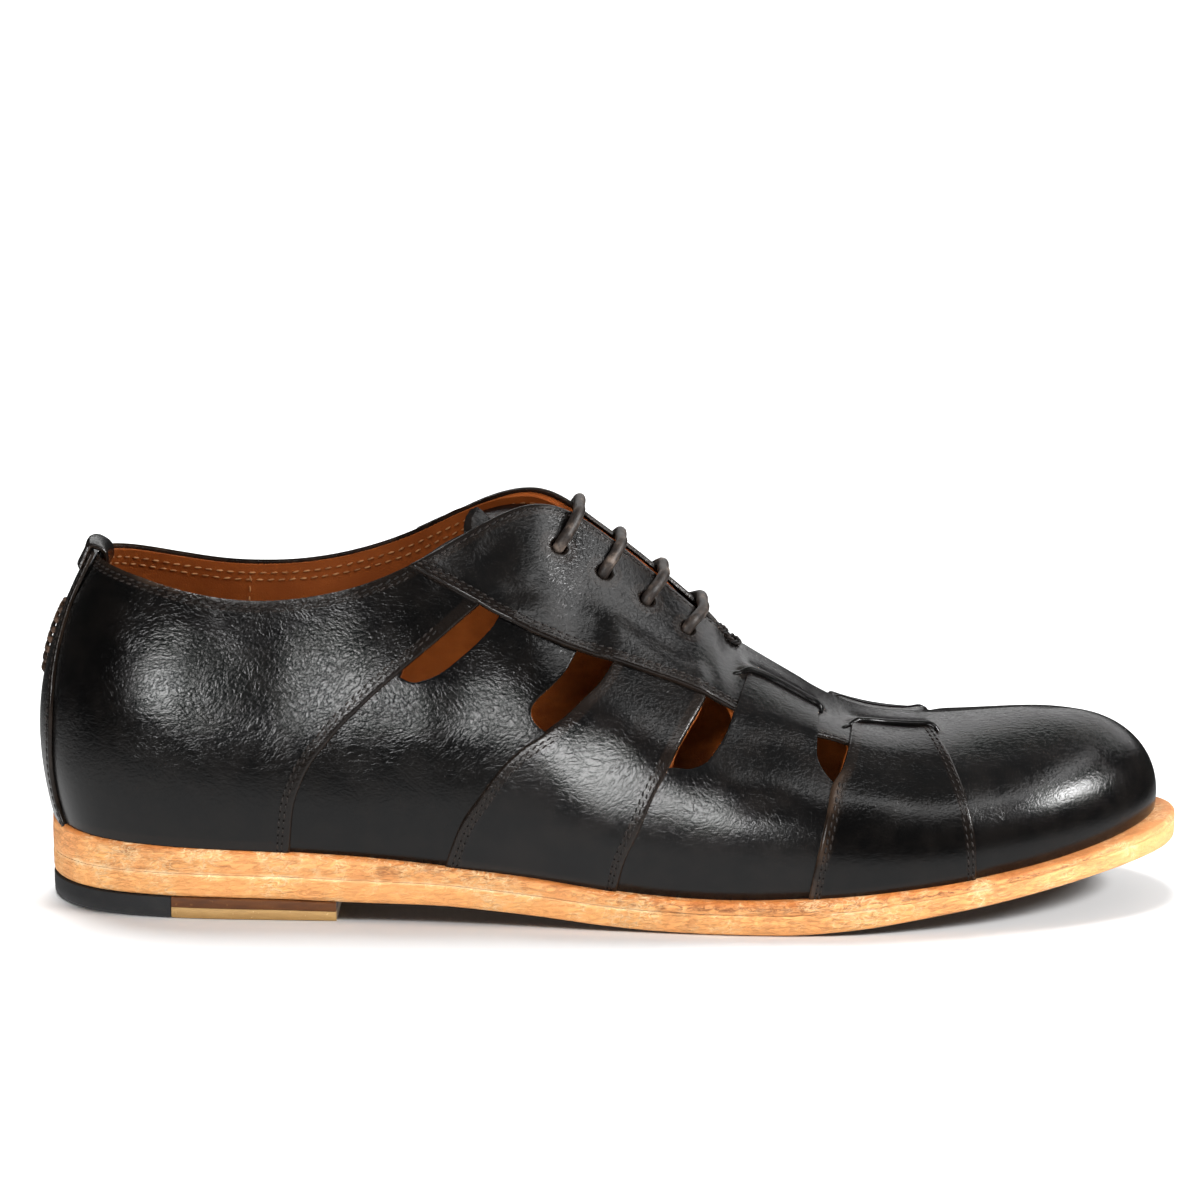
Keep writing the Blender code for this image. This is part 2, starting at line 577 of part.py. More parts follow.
def make_lace_bars():
    """The lace's bars, each from above one eyelet over the throat to the other."""
    radius = LACE_DIAMETER / 2.0
    rest = SHEET_GAP + FACING + GAP
    for number, station in enumerate(EYELET_STATIONS, 1):
        halves = []
        for side in (LATERAL, MEDIAL):
            halves.append([raised(station, row.rise, side, rest + row.height) for row in LACE_RISE])
        crest = (halves[0][-1] + halves[1][-1]) / 2.0 + (0.0, 0.0, LACE_MIDDLE)
        knots = np.array([*halves[0], crest, *halves[1][::-1]])
        at = np.linspace(0.0, len(knots) - 1.0, 2 * len(knots) - 1)
        path = smooth_path(knots, at)
        line = bpy.data.curves.new(f"lace_bar_{number}", "CURVE")
        line.dimensions = "3D"
        line.bevel_depth = radius * MM
        line.bevel_resolution = 2
        line.use_fill_caps = True
        run = line.splines.new("POLY")
        run.points.add(len(path) - 1)
        for point, place in zip(run.points, (path - (MIDDLE_X, 0.0, 0.0)) * MM):
            point.co = (*place, 1.0)
        place_object(f"lace_bar_{number}", line, LACE_CORD)


def smooth_path(knots, at):
    """Points of a smooth curve through knots."""
    slope = np.gradient(knots, axis=0)
    left = np.clip(np.floor(at).astype(int), 0, len(knots) - 2)
    part = (at - left)[:, None]
    rest = 1.0 - part
    return ((1.0 + 2.0 * part) * rest ** 2 * knots[left] + part * rest ** 2 * slope[left]
            + part ** 2 * (3.0 - 2.0 * part) * knots[left + 1] - part ** 2 * rest * slope[left + 1])


for old in list(bpy.data.objects):
    bpy.data.objects.remove(old, do_unlink=True)
PARTS = fresh_collection(SHOE)
CUTTERS = fresh_collection(f"{SHOE}_cutters")
make_sole()
make_upper()
make_overlays()
make_facing()
make_backstay()
make_tongue()
make_pull_loop()
make_lace_bars()
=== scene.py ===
import math

import bmesh
import bpy
import numpy as np
from mathutils.geometry import delaunay_2d_cdt
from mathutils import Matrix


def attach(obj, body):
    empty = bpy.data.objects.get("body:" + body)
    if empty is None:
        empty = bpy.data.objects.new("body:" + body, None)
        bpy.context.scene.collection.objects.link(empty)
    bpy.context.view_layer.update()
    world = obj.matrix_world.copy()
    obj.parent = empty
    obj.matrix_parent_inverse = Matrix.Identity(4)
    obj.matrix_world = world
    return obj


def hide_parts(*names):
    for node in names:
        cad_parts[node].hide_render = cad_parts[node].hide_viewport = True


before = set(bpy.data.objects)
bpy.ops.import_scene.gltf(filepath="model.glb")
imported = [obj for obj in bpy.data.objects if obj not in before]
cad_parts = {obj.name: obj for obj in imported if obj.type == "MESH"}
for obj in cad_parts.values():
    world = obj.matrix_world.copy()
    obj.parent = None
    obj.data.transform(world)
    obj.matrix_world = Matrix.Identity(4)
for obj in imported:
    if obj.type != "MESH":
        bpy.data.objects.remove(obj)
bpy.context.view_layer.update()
print("frame loaded", len(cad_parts), "nodes")

# the last: all lengths in millimetres, stations 0 (heel) to 19 (toe), rise 0 (seat) to 1 (topline)
middleX = 150.6
lastStation = 19.0
throatEnd = 12.0
lateral, medial = -1, 1
bothSides = (lateral, medial)

# x, lateral half width, medial half width, seat height, welt, tread height, outsole
seatRows = [
    (1.5, 0.0, 0.0, 22.2, 2.6, 6.0, 6.2), (7.0, 17.0, 16.5, 21.4, 2.0, 6.0, 6.2),
    (19.0, 26.6, 26.0, 20.4, 1.8, 5.9, 6.2), (37.0, 31.6, 30.5, 19.6, 1.8, 5.8, 6.2),
    (60.0, 33.4, 31.0, 18.8, 2.0, 5.6, 6.2), (84.0, 34.6, 29.5, 17.5, 2.2, 4.9, 6.1),
    (104.0, 36.2, 28.3, 15.8, 2.4, 4.6, 5.9), (120.0, 38.0, 28.4, 14.3, 2.6, 3.6, 5.7),
    (134.0, 40.2, 30.0, 12.8, 2.8, 2.5, 5.6), (148.0, 42.8, 33.0, 11.0, 3.0, 1.2, 5.5),
    (163.0, 45.4, 37.5, 9.7, 3.0, 0.3, 5.4), (179.0, 47.8, 42.8, 9.2, 3.0, 0.0, 5.4),
    (195.0, 49.2, 46.6, 9.6, 3.0, 0.0, 5.4), (213.0, 49.2, 48.2, 10.6, 3.0, 1.2, 5.3),
    (231.0, 46.8, 47.6, 12.0, 3.2, 3.6, 5.1), (249.0, 42.4, 44.4, 13.8, 3.5, 6.2, 4.9),
    (266.0, 36.2, 38.4, 16.2, 4.0, 9.2, 4.7), (281.5, 27.0, 29.2, 18.9, 4.6, 11.9, 4.6),
    (293.6, 14.6, 16.2, 21.3, 5.4, 13.7, 4.6), (298.6, 0.0, 0.0, 22.4, 5.6, 14.4, 4.6),
]
# x, middle line, half gap of the throat, height, medial rise
topRows = [
    (13.0, 0.0, 0.0, 93.6, 0.0), (15.5, 0.0, 12.0, 92.8, 0.2), (25.0, 0.0, 20.5, 90.2, 0.4),
    (41.0, 0.0, 25.6, 86.2, 0.8), (60.0, 0.0, 27.4, 84.6, 1.2), (80.0, 0.0, 27.4, 87.4, 1.2),
    (97.0, 0.0, 25.2, 93.5, 1.2), (113.0, 0.2, 18.4, 101.7, 1.6), (130.0, 0.4, 10.5, 107.2, 0.8),
    (145.0, 0.6, 4.8, 100.5, 0.3), (160.0, 0.9, 4.2, 88.5, 0.8), (173.0, 1.2, 3.4, 76.9, 1.2),
    (183.0, 1.6, 0.0, 68.8, 0.0), (199.0, 2.0, 0.0, 59.0, 0.0), (217.0, 2.4, 0.0, 49.9, 0.0),
    (235.0, 2.8, 0.0, 48.0, 0.0), (250.0, 3.2, 0.0, 48.7, 0.0), (261.0, 3.4, 0.0, 49.4, 0.0),
    (268.0, 3.4, 0.0, 49.3, 0.0), (272.0, 3.4, 0.0, 49.2, 0.0),
]
# each section: share and lean of the lower handle, share and drop of the upper one
curveRows = [
    (0.42, 14, 0.36, 62), (0.42, 14, 0.36, 64), (0.42, 15, 0.36, 68), (0.42, 15, 0.36, 74),
    (0.42, 15, 0.36, 78), (0.42, 15, 0.36, 78), (0.42, 15, 0.36, 72), (0.42, 15, 0.36, 62),
    (0.42, 15, 0.38, 50), (0.42, 16, 0.38, 44), (0.42, 17, 0.38, 36), (0.42, 18, 0.40, 24),
    (0.42, 18, 0.42, 13), (0.42, 18, 0.44, 7), (0.42, 18, 0.46, 5), (0.42, 18, 0.48, 4),
    (0.42, 16, 0.49, 3), (0.40, 14, 0.50, 2), (0.38, 12, 0.50, 1), (0.38, 11, 0.50, 1),
]
# how far the toe leans inwards, from where and over what length
toeSwing, swingStart, swingLength = 3.0, 150.0, 144.0


def smoothColumn(values, odd=False):
    column = np.asarray(values, float)
    last = len(column) - 1
    sign = -1.0 if odd else 1.0
    knots = np.concatenate([sign * column[:0:-1], column, sign * column[-2::-1]])  # mirrored past both ends
    count = len(knots)
    system = np.eye(count)
    bend = np.zeros(count)
    for row in range(1, count - 1):
        system[row, row - 1:row + 2] = (1.0, 4.0, 1.0)
        bend[row] = 6.0 * (knots[row - 1] - 2.0 * knots[row] + knots[row + 1])
    second = np.linalg.solve(system, bend)

    def at(station):
        place = np.asarray(station, float) + last
        left = np.clip(np.floor(place).astype(int), 0, count - 2)
        part = place - left
        rest = 1.0 - part
        curved = (rest ** 3 - rest) * second[left] + (part ** 3 - part) * second[left + 1]
        return rest * knots[left] + part * knots[left + 1] + curved / 6.0
    return at


def hermite(part, span, first, second, leave, arrive):
    rest = 1.0 - part
    return ((1.0 + 2.0 * part) * rest ** 2 * first + part * rest ** 2 * span * leave
            + part ** 2 * (3.0 - 2.0 * part) * second - part ** 2 * rest * span * arrive)


def steadyColumn(values):
    column = np.asarray(values, float)
    step = np.diff(column)
    slope = np.zeros(len(column))
    slope[0] = step[0]
    for row in range(1, len(column) - 1):
        if step[row - 1] * step[row] > 0.0:
            slope[row] = 2.0 * step[row - 1] * step[row] / (step[row - 1] + step[row])

    def at(station):
        place = np.clip(np.asarray(station, float), 0.0, len(column) - 1.0)
        left = np.clip(np.floor(place).astype(int), 0, len(column) - 2)
        return hermite(place - left, 1.0, column[left], column[left + 1], slope[left], slope[left + 1])
    return at


def pick(rows, index):
    return [row[index] for row in rows]


seatX, seatZ, weltReach = (smoothColumn(pick(seatRows, index)) for index in (0, 3, 4))
seatHalf = {lateral: smoothColumn(pick(seatRows, 1), odd=True),
            medial: smoothColumn(pick(seatRows, 2), odd=True)}
treadZ, outsoleThick = (steadyColumn(pick(seatRows, index)) for index in (5, 6))
topX, topMiddle, topZ = (smoothColumn(pick(topRows, index)) for index in (0, 1, 3))
topGap, topMedial = (steadyColumn(pick(topRows, index)) for index in (2, 4))
lowShare, lowLean, highShare, highDrop = (smoothColumn(pick(curveRows, index)) for index in range(4))


def seatLine(station, side):
    x = seatX(station)
    swing = toeSwing * np.clip((x - swingStart) / swingLength, 0.0, 1.0) ** 2
    return np.stack([x, swing + side * seatHalf[side](station), seatZ(station)], -1)


def topLine(station, side):
    station = np.asarray(station, float)
    gap = np.sign(station) * topGap(np.abs(station))
    z = topZ(station) + (topMedial(station) if side == medial else 0.0)
    return np.stack([topX(station), topMiddle(station) + side * gap, z], -1)


def outwardAt(station, side):
    step = 1e-3
    station = np.asarray(station, float)
    run = seatLine(station + step, side) - seatLine(station - step, side)
    run[..., 2] = 0.0
    run /= np.linalg.norm(run, axis=-1, keepdims=True)
    return np.stack([-side * run[..., 1], side * run[..., 0], np.zeros_like(run[..., 0])], -1)


def lastPoint(station, rise, side):
    station, rise = np.broadcast_arrays(np.asarray(station, float), np.asarray(rise, float))
    low, high, out = seatLine(station, side), topLine(station, side), outwardAt(station, side)
    up = np.array([0.0, 0.0, 1.0])
    reach = np.linalg.norm(high - low, axis=-1, keepdims=True)
    lean, drop = np.radians(lowLean(station))[..., None], np.radians(highDrop(station))[..., None]
    lowHandle = low + lowShare(station)[..., None] * reach * (np.cos(lean) * up + np.sin(lean) * out)
    highHandle = high + highShare(station)[..., None] * reach * (np.cos(drop) * out - np.sin(drop) * up)
    t = rise[..., None]
    s = 1.0 - t
    return s ** 3 * low + 3.0 * s * s * t * lowHandle + 3.0 * s * t * t * highHandle + t ** 3 * high


def sideNormal(station, rise, side):
    step = 1e-3
    along = lastPoint(station + step, rise, side) - lastPoint(station - step, rise, side)
    rising = lastPoint(station, rise + step, side) - lastPoint(station, rise - step, side)
    normal = -side * np.cross(along, rising)
    return normal / np.linalg.norm(normal, axis=-1, keepdims=True)


def lastNormal(station, rise, side):
    station, rise = np.broadcast_arrays(np.asarray(station, float), np.asarray(rise, float))
    own = sideNormal(station, rise, side)
    shared = own + sideNormal(station, rise, -side)
    shared /= np.linalg.norm(shared, axis=-1, keepdims=True)
    return np.where(onJoin(station, rise)[..., None], shared, own)


joinWidth = 0.0005               # stations and rises as close as this to a join are on it


def onJoin(station, rise):
    # where the two sides are one surface: the back, the toe's tip and the ridge
    ridge = (rise > 1.0 - joinWidth) & (station > throatEnd - joinWidth)
    return (station < joinWidth) | (station > lastStation - joinWidth) | ridge


# the medial straps lie flatter over the forefoot: depth in mm, stations and rises between which they do
medialFall = dict(depth=2.2, start=12.2, end=14.9, soft=0.35, low=0.60, high=0.78, crestFrom=0.90,
                  crestTo=1.0)


def fallAt(station, rise, side):
    if side == lateral:
        return 0.0
    rising = smoothStep(medialFall["low"], medialFall["high"], rise)
    crest = 1.0 - smoothStep(medialFall["crestFrom"], medialFall["crestTo"], rise)
    along = window(station, medialFall["start"], medialFall["end"], medialFall["soft"])
    return medialFall["depth"] * rising * crest * along


def raised(station, rise, side, height):
    lifted = np.asarray(height) - fallAt(station, rise, side)
    return lastPoint(station, rise, side) + lifted[..., None] * lastNormal(station, rise, side)


def toFrame(points):
    return (np.asarray(points, float) - (middleX, 0.0, 0.0)) * 0.001


def smoothStep(low, high, value):
    t = np.clip((np.asarray(value, float) - low) / (high - low), 0.0, 1.0)
    return t * t * (3.0 - 2.0 * t)


def window(value, start, end, soft):
    return smoothStep(start - soft, start + soft, value) * (1.0 - smoothStep(end - soft, end + soft, value))


def lengthsAlong(points):
    return np.concatenate([[0.0], np.cumsum(np.linalg.norm(np.diff(points, axis=0), axis=1))])


def throughKnots(knots, lengths, at):
    slope = np.gradient(knots, lengths, axis=0)
    left = np.clip(np.searchsorted(lengths, at, side="right") - 1, 0, len(knots) - 2)
    span = (lengths[left + 1] - lengths[left])[:, None]
    part = (at - lengths[left])[:, None] / span
    return hermite(part, span, knots[left], knots[left + 1], slope[left], slope[left + 1])


# flat pattern: run along the shoe at half rise, and height along the section, both in mm
runSteps, riseSteps = 761, 41
runStations = np.linspace(0.0, lastStation, runSteps)
runTable = lengthsAlong(lastPoint(runStations, np.full(runSteps, 0.5), lateral))
sections = lastPoint(runStations[:, None], np.linspace(0.0, 1.0, riseSteps)[None, :], lateral)
tallTable = np.linalg.norm(np.diff(sections, axis=1), axis=2).sum(1)


def toPlane(places):
    places = np.asarray(places, float)
    tall = np.interp(places[..., 0], runStations, tallTable)
    return np.stack([np.interp(places[..., 0], runStations, runTable), places[..., 1] * tall], -1)


def fromPlane(flat):
    station = np.interp(flat[..., 0], runTable, runStations)
    return np.stack([station, flat[..., 1] / np.interp(station, runStations, tallTable)], -1)


def smoothLine(places, step=1.0):
    knots = np.array(places, float)
    lengths = lengthsAlong(toPlane(knots))
    count = max(2, int(np.ceil(lengths[-1] / step)) + 1)
    return throughKnots(knots, lengths, np.linspace(0.0, lengths[-1], count))


# a number of points along a smooth path through a few knots in space
def smoothPath(knots, count):
    knots = np.array(knots, float)
    lengths = lengthsAlong(knots)
    return throughKnots(knots, lengths, np.linspace(0.0, lengths[-1], count))


def insetLine(places, inset, step=1.0):
    # the same line moved to its left (seen from outside on the lateral side) by a distance
    flat = toPlane(smoothLine(places, step))
    run = np.gradient(flat, axis=0)
    run /= np.linalg.norm(run, axis=1, keepdims=True)
    return fromPlane(flat + inset * np.stack([-run[:, 1], run[:, 0]], 1))


# seams on the last, each a row of (station, rise)
quarterFront = [(4.23, -0.012), (4.26, 0.08), (4.30, 0.17), (4.38, 0.25), (4.50, 0.33), (4.69, 0.41),
                (4.89, 0.48), (5.17, 0.55), (5.48, 0.61), (5.81, 0.655), (6.15, 0.69), (6.50, 0.717),
                (7.00, 0.752), (7.30, 0.77)]
strapMidRear = [(6.14, -0.012), (6.29, 0.062), (6.50, 0.138), (6.84, 0.207), (7.26, 0.278), (7.67, 0.325),
                (8.18, 0.372), (8.58, 0.425), (8.88, 0.478), (9.23, 0.55), (9.44, 0.615), (9.60, 0.68)]
strapMidFront = [(9.26, -0.012), (9.45, 0.075), (9.75, 0.17), (10.06, 0.28), (10.33, 0.367), (10.51, 0.432),
                 (10.80, 0.527), (11.16, 0.638), (11.32, 0.69)]
strapFourRear = [(10.05, 0.345), (10.40, 0.378), (10.71, 0.390), (10.99, 0.420), (11.23, 0.470),
                 (11.47, 0.527), (11.72, 0.608), (11.98, 0.703), (12.15, 0.785), (12.19, 0.81),
                 (12.30, 0.850)]
strapFourFront = [(13.02, 0.835), (13.14, 0.79), (13.16, 0.77), (13.10, 0.71), (12.93, 0.562), (12.88, 0.495),
                  (12.91, 0.448), (12.97, 0.417), (13.20, 0.36)]
strapFrontRear = [(12.38, -0.012), (12.45, 0.058), (12.60, 0.173), (12.79, 0.297), (12.95, 0.398),
                  (13.14, 0.470), (13.30, 0.552), (13.45, 0.647), (13.57, 0.730), (13.62, 0.76),
                  (13.76, 0.82)]
strapFrontFront = [(14.84, -0.012), (14.81, 0.077), (14.79, 0.190), (14.77, 0.312), (14.77, 0.420),
                   (14.78, 0.535), (14.80, 0.665), (14.82, 0.76), (14.83, 0.80), (14.76, 0.855)]
backstayEdge = [(0.84, -0.012), (0.73, 0.05), (0.71, 0.135), (0.78, 0.285), (0.79, 0.438), (0.70, 0.59),
                (0.61, 0.725), (0.55, 0.84), (0.60, 0.925), (0.64, 1.0)]
eyestayLow = [(6.02, 1.0), (6.55, 0.888), (7.04, 0.79), (7.52, 0.703), (8.03, 0.647), (8.57, 0.623),
              (9.11, 0.625), (9.63, 0.633), (10.15, 0.645), (10.69, 0.657), (11.29, 0.650), (11.75, 0.628),
              (12.20, 0.612), (12.60, 0.610), (12.99, 0.613), (13.19, 0.620), (13.39, 0.618), (13.80, 0.60),
              (14.20, 0.56)]
slitLips = [
    [(11.87, 0.765), (11.96, 0.793), (12.15, 0.815), (12.45, 0.824), (12.76, 0.810), (12.99, 0.793),
     (13.15, 0.780), (13.21, 0.750), (13.19, 0.710)],
    [(13.38, 0.680), (13.45, 0.712), (13.58, 0.748), (13.85, 0.790), (14.23, 0.818), (14.55, 0.824),
     (14.82, 0.820), (14.95, 0.796), (14.98, 0.755)],
]
slitSpans = [(12.12, 13.18), (13.60, 14.86)]      # where the straps fill the slits
slitDrop, slitTaper = 0.03, 0.6  # how far below its lip a slit opens, as rise, and how fast its ends close
eyelets = [(8.48, 0.89), (9.29, 0.885), (10.04, 0.89), (10.83, 0.885)]
cutOuts = [
    [(5.80, 0.640), (5.95, 0.613), (6.19, 0.605), (6.45, 0.610), (6.80, 0.633), (7.16, 0.662), (7.46, 0.702),
     (7.55, 0.74), (7.35, 0.79), (7.11, 0.765), (6.50, 0.725), (6.15, 0.700), (5.90, 0.675)],
    [(8.18, 0.376), (8.58, 0.427), (8.88, 0.480), (9.23, 0.552), (9.44, 0.610), (9.55, 0.66), (9.25, 0.68),
     (8.97, 0.640), (8.65, 0.552), (8.30, 0.490), (8.08, 0.460), (7.95, 0.432), (7.97, 0.405), (8.07, 0.386)],
    [(10.38, 0.374), (10.51, 0.432), (10.80, 0.527), (11.13, 0.628), (11.25, 0.68), (11.60, 0.68),
     (11.73, 0.625), (11.47, 0.527), (11.23, 0.470), (10.99, 0.420), (10.71, 0.390), (10.50, 0.378)],
    [(12.97, 0.413), (12.90, 0.448), (12.87, 0.495), (12.92, 0.562), (13.02, 0.655), (13.19, 0.665),
     (13.44, 0.655), (13.30, 0.552), (13.14, 0.470), (13.05, 0.43)],
]


def insideLoop(points, loop):
    x, y = points[:, 0][:, None], points[:, 1][:, None]
    ax, ay = loop[:, 0][None], loop[:, 1][None]
    bx, by = np.roll(loop[:, 0], -1)[None], np.roll(loop[:, 1], -1)[None]
    crosses = (ay > y) != (by > y)
    with np.errstate(divide="ignore", invalid="ignore"):
        at = ax + (y - ay) / (by - ay) * (bx - ax)
    return (np.where(crosses, x < at, False).sum(1) % 2) == 1


def edgeDistance(points, starts, ends):
    nearest = np.full(len(points), 1e9)
    run = ends - starts
    length = np.maximum((run ** 2).sum(1), 1e-12)
    for first in range(0, len(points), 2000):
        block = points[first:first + 2000]
        away = block[:, None, :] - starts[None]
        t = np.clip((away * run[None]).sum(2) / length[None], 0.0, 1.0)
        gap = away - t[..., None] * run[None]
        nearest[first:first + 2000] = np.sqrt((gap ** 2).sum(2).min(1))
    return nearest


def ringHole(place, radius, count=18):
    turn = np.linspace(0.0, 2.0 * math.pi, count, endpoint=False)
    return fromPlane(toPlane(np.array(place))[None] + radius * np.stack([np.cos(turn), np.sin(turn)], 1))


def slitHole(lip, span):
    upper = smoothLine(lip, 0.8)
    upper = upper[(upper[:, 0] > span[0]) & (upper[:, 0] < span[1])]
    share = np.linspace(0.0, 1.0, len(upper))
    lower = upper - np.stack([0.0 * share, slitDrop * np.sin(math.pi * share) ** slitTaper], 1)
    return np.concatenate([upper, lower[-2:0:-1]])


def closedHole(places):
    return smoothLine([*places, places[0]], 0.9)[:-1]


# spacing of a pattern's points in mm: along its outline, and in rows beside its cut edges
patternGrid = dict(outline=0.9, rows=(0.16, 0.42, 0.8, 1.3), rowKeep=0.9, gridKeep=0.45, rowStep=0.866)


# one flat pattern piece cut into triangles
def cutPattern(segments, holes=(), cell=1.7):
    rows = patternGrid["rows"]
    loop = np.concatenate([smoothLine(places, patternGrid["outline"])[:-1] for places in segments])
    if signedArea(toPlane(loop)) < 0.0:
        loop = loop[::-1]
    loops = [loop]
    for hole in map(np.asarray, holes):
        loops.append(hole[::-1] if signedArea(toPlane(hole)) > 0.0 else hole)
    flats = [toPlane(each) for each in loops]
    starts = np.concatenate(flats)
    ends = np.concatenate([np.roll(flat, -1, axis=0) for flat in flats])
    joined = np.concatenate([onJoin(each[:, 0], each[:, 1]) for each in loops])
    joinEdge = joined & np.concatenate([np.roll(onJoin(each[:, 0], each[:, 1]), -1) for each in loops])
    ringPoints, wanted = [], []
    for flat in flats:
        run = np.roll(flat, -1, axis=0) - np.roll(flat, 1, axis=0)
        run /= np.maximum(np.linalg.norm(run, axis=1, keepdims=True), 1e-9)
        inward = np.stack([-run[:, 1], run[:, 0]], 1)
        for distance in rows:
            ringPoints.append(flat + distance * inward)
            wanted.append(np.full(len(flat), distance))
    ringPoints, wanted = np.concatenate(ringPoints), np.concatenate(wanted)
    ringPoints = ringPoints[edgeDistance(ringPoints, starts, ends) > patternGrid["rowKeep"] * wanted]
    low, high = starts.min(0), starts.max(0)
    rowStep = cell * patternGrid["rowStep"]
    gridX, gridY = np.meshgrid(np.arange(low[0], high[0], cell), np.arange(low[1], high[1], rowStep))
    gridX = gridX + 0.5 * cell * (np.arange(gridX.shape[0]) % 2)[:, None]
    grid = np.stack([gridX.ravel(), gridY.ravel()], 1)
    grid = grid[edgeDistance(grid, starts, ends) > rows[-1] + patternGrid["gridKeep"] * cell]
    inner = np.concatenate([ringPoints, grid])
    inner = inner[insideCut(inner, flats)]
    edges, first = [], 0
    for flat in flats:
        count = len(flat)
        edges += [(first + index, first + (index + 1) % count) for index in range(count)]
        first += count
    allFlat = np.concatenate([starts, inner])
    found = delaunay_2d_cdt([tuple(point) for point in allFlat], edges, [], 0, 1e-6)
    source = [origin[0] if origin else -1 for origin in found[3]]
    flat = np.array([tuple(point) for point in found[0]])
    known = np.concatenate([np.concatenate(loops), fromPlane(inner)])
    places = np.array([known[index] if index >= 0 else fromPlane(spot) for index, spot in zip(source, flat)])
    faces = np.array([face for face in found[2] if len(face) == 3])
    faces = faces[insideCut(flat[faces].mean(1), flats)]
    turn = flat[faces[:, 1]] - flat[faces[:, 0]], flat[faces[:, 2]] - flat[faces[:, 0]]
    flipped = turn[0][:, 0] * turn[1][:, 1] - turn[0][:, 1] * turn[1][:, 0] < 0.0
    faces[flipped] = faces[flipped][:, ::-1]
    cut = ~joinEdge
    used = np.unique(faces)
    index = np.full(len(places), -1)
    index[used] = np.arange(len(used))
    return dict(places=places[used], faces=index[faces],
                edge=edgeDistance(flat[used], starts[cut], ends[cut]))


def insideCut(points, flats):
    keep = insideLoop(points, flats[0])
    for hole in flats[1:]:
        keep &= ~insideLoop(points, hole)
    return keep


def signedArea(flat):
    after = np.roll(flat, -1, axis=0)
    return 0.5 * (flat[:, 0] * after[:, 1] - flat[:, 1] * after[:, 0]).sum()


leastThick = 0.05                # mm, where a rounded edge runs out


# a pattern laid on the last as a closed piece of leather between a floor and a top
def layPanel(name, pattern, sides, floorAt, topAt, roundness, material, rubAt=None):
    station, rise = pattern["places"].T
    faces, edge = pattern["faces"], pattern["edge"]
    count = len(station)
    near = np.clip(1.0 - edge / roundness, 0.0, 1.0)
    top = topAt(station, rise) - roundness * (1.0 - np.sqrt(1.0 - near ** 2))
    floor = floorAt(station, rise)
    top = np.maximum(top, floor + leastThick)
    joined = onJoin(station, rise)
    ends = np.concatenate([faces[:, [0, 1]], faces[:, [1, 2]], faces[:, [2, 0]]])
    known = set(map(tuple, ends.tolist()))
    rim = [pair for pair in known if (pair[1], pair[0]) not in known]
    rim = np.array([pair for pair in rim if not (joined[pair[0]] and joined[pair[1]])])
    points, polygons, marks, rises, taken = [], [], [], [], 0
    for number, side in enumerate(sides):
        points += [raised(station, rise, side, top), raised(station, rise, side, floor)]
        marks += [edge, edge * 0.0]
        rises += [rise, rise]
        skirt = np.concatenate([rim[:, [1, 0]], rim + count], 1)
        sheets = [faces, faces[:, ::-1] + count, skirt]
        index = np.arange(2 * count) + taken
        if number:
            same = np.concatenate([joined, joined])
            index[same] = np.arange(2 * count)[same]
        for sheet in sheets:
            polygons += index[sheet if side == lateral else sheet[:, ::-1]].tolist()
        taken += 2 * count
    kept = dict(edge=np.concatenate(marks), rise=np.concatenate(rises))
    if rubAt:
        kept["rub"] = np.tile(rubAt(station, rise), 2 * len(sides))
    return plainMesh(name, np.concatenate(points), polygons, material, kept)


def plainMesh(name, points, polygons, material, marks=None, sharp=50.0):
    data = bpy.data.meshes.new(name)
    data.from_pydata(toFrame(points).tolist(), [], polygons)
    for key, values in (marks or {}).items():
        data.attributes.new(key, "FLOAT", "POINT").data.foreach_set("value", np.asarray(values, np.float32))
    form = bmesh.new()
    form.from_mesh(data)
    loose = [vert for vert in form.verts if not vert.link_faces]
    bmesh.ops.delete(form, geom=loose, context="VERTS")
    form.to_mesh(data)
    form.free()
    data.materials.append(material)
    data.shade_smooth()
    data.set_sharp_from_angle(angle=math.radians(sharp))
    piece = bpy.data.objects.new(name, data)
    bpy.context.scene.collection.objects.link(piece)
    return piece


built = {}


def dress(piece, slot, *nodes):
    built[piece.name.split(".")[0]] = piece
    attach(piece, "root")
    if nodes:
        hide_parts(*nodes)
    return piece


# shader sums as plain expressions: an operator and its reflected form
def binary(operation):
    return (lambda self, other: self.sum(operation, self, other),
            lambda self, other: self.sum(operation, other, self))


class Wire:
    def __init__(self, tree, socket):
        self.tree, self.socket = tree, socket

    def sum(self, operation, *values):
        node = self.tree.nodes.new("ShaderNodeMath")
        node.operation = operation
        for slot, value in zip(node.inputs, values):
            plug(self.tree, slot, value)
        return Wire(self.tree, node.outputs[0])

    __add__, __radd__ = binary("ADD")
    __sub__, __rsub__ = binary("SUBTRACT")
    __mul__, __rmul__ = binary("MULTIPLY")
    __truediv__, __rtruediv__ = binary("DIVIDE")
    __pow__, __rpow__ = binary("POWER")

    def __abs__(self):
        return self.sum("ABSOLUTE", self)

    def least(self, other):
        return self.sum("MINIMUM", self, other)

    def between(self, low, high):
        node = self.tree.nodes.new("ShaderNodeMapRange")
        node.interpolation_type = "SMOOTHSTEP"
        for slot, value in zip(node.inputs, (self, low, high, 0.0, 1.0)):
            plug(self.tree, slot, value)
        return Wire(self.tree, node.outputs[0])


def plug(tree, slot, value):
    if isinstance(value, Wire):
        tree.links.new(value.socket, slot)
    elif slot.type == "RGBA" and len(value) == 3:
        slot.default_value = (*value, 1.0)
    else:
        slot.default_value = value


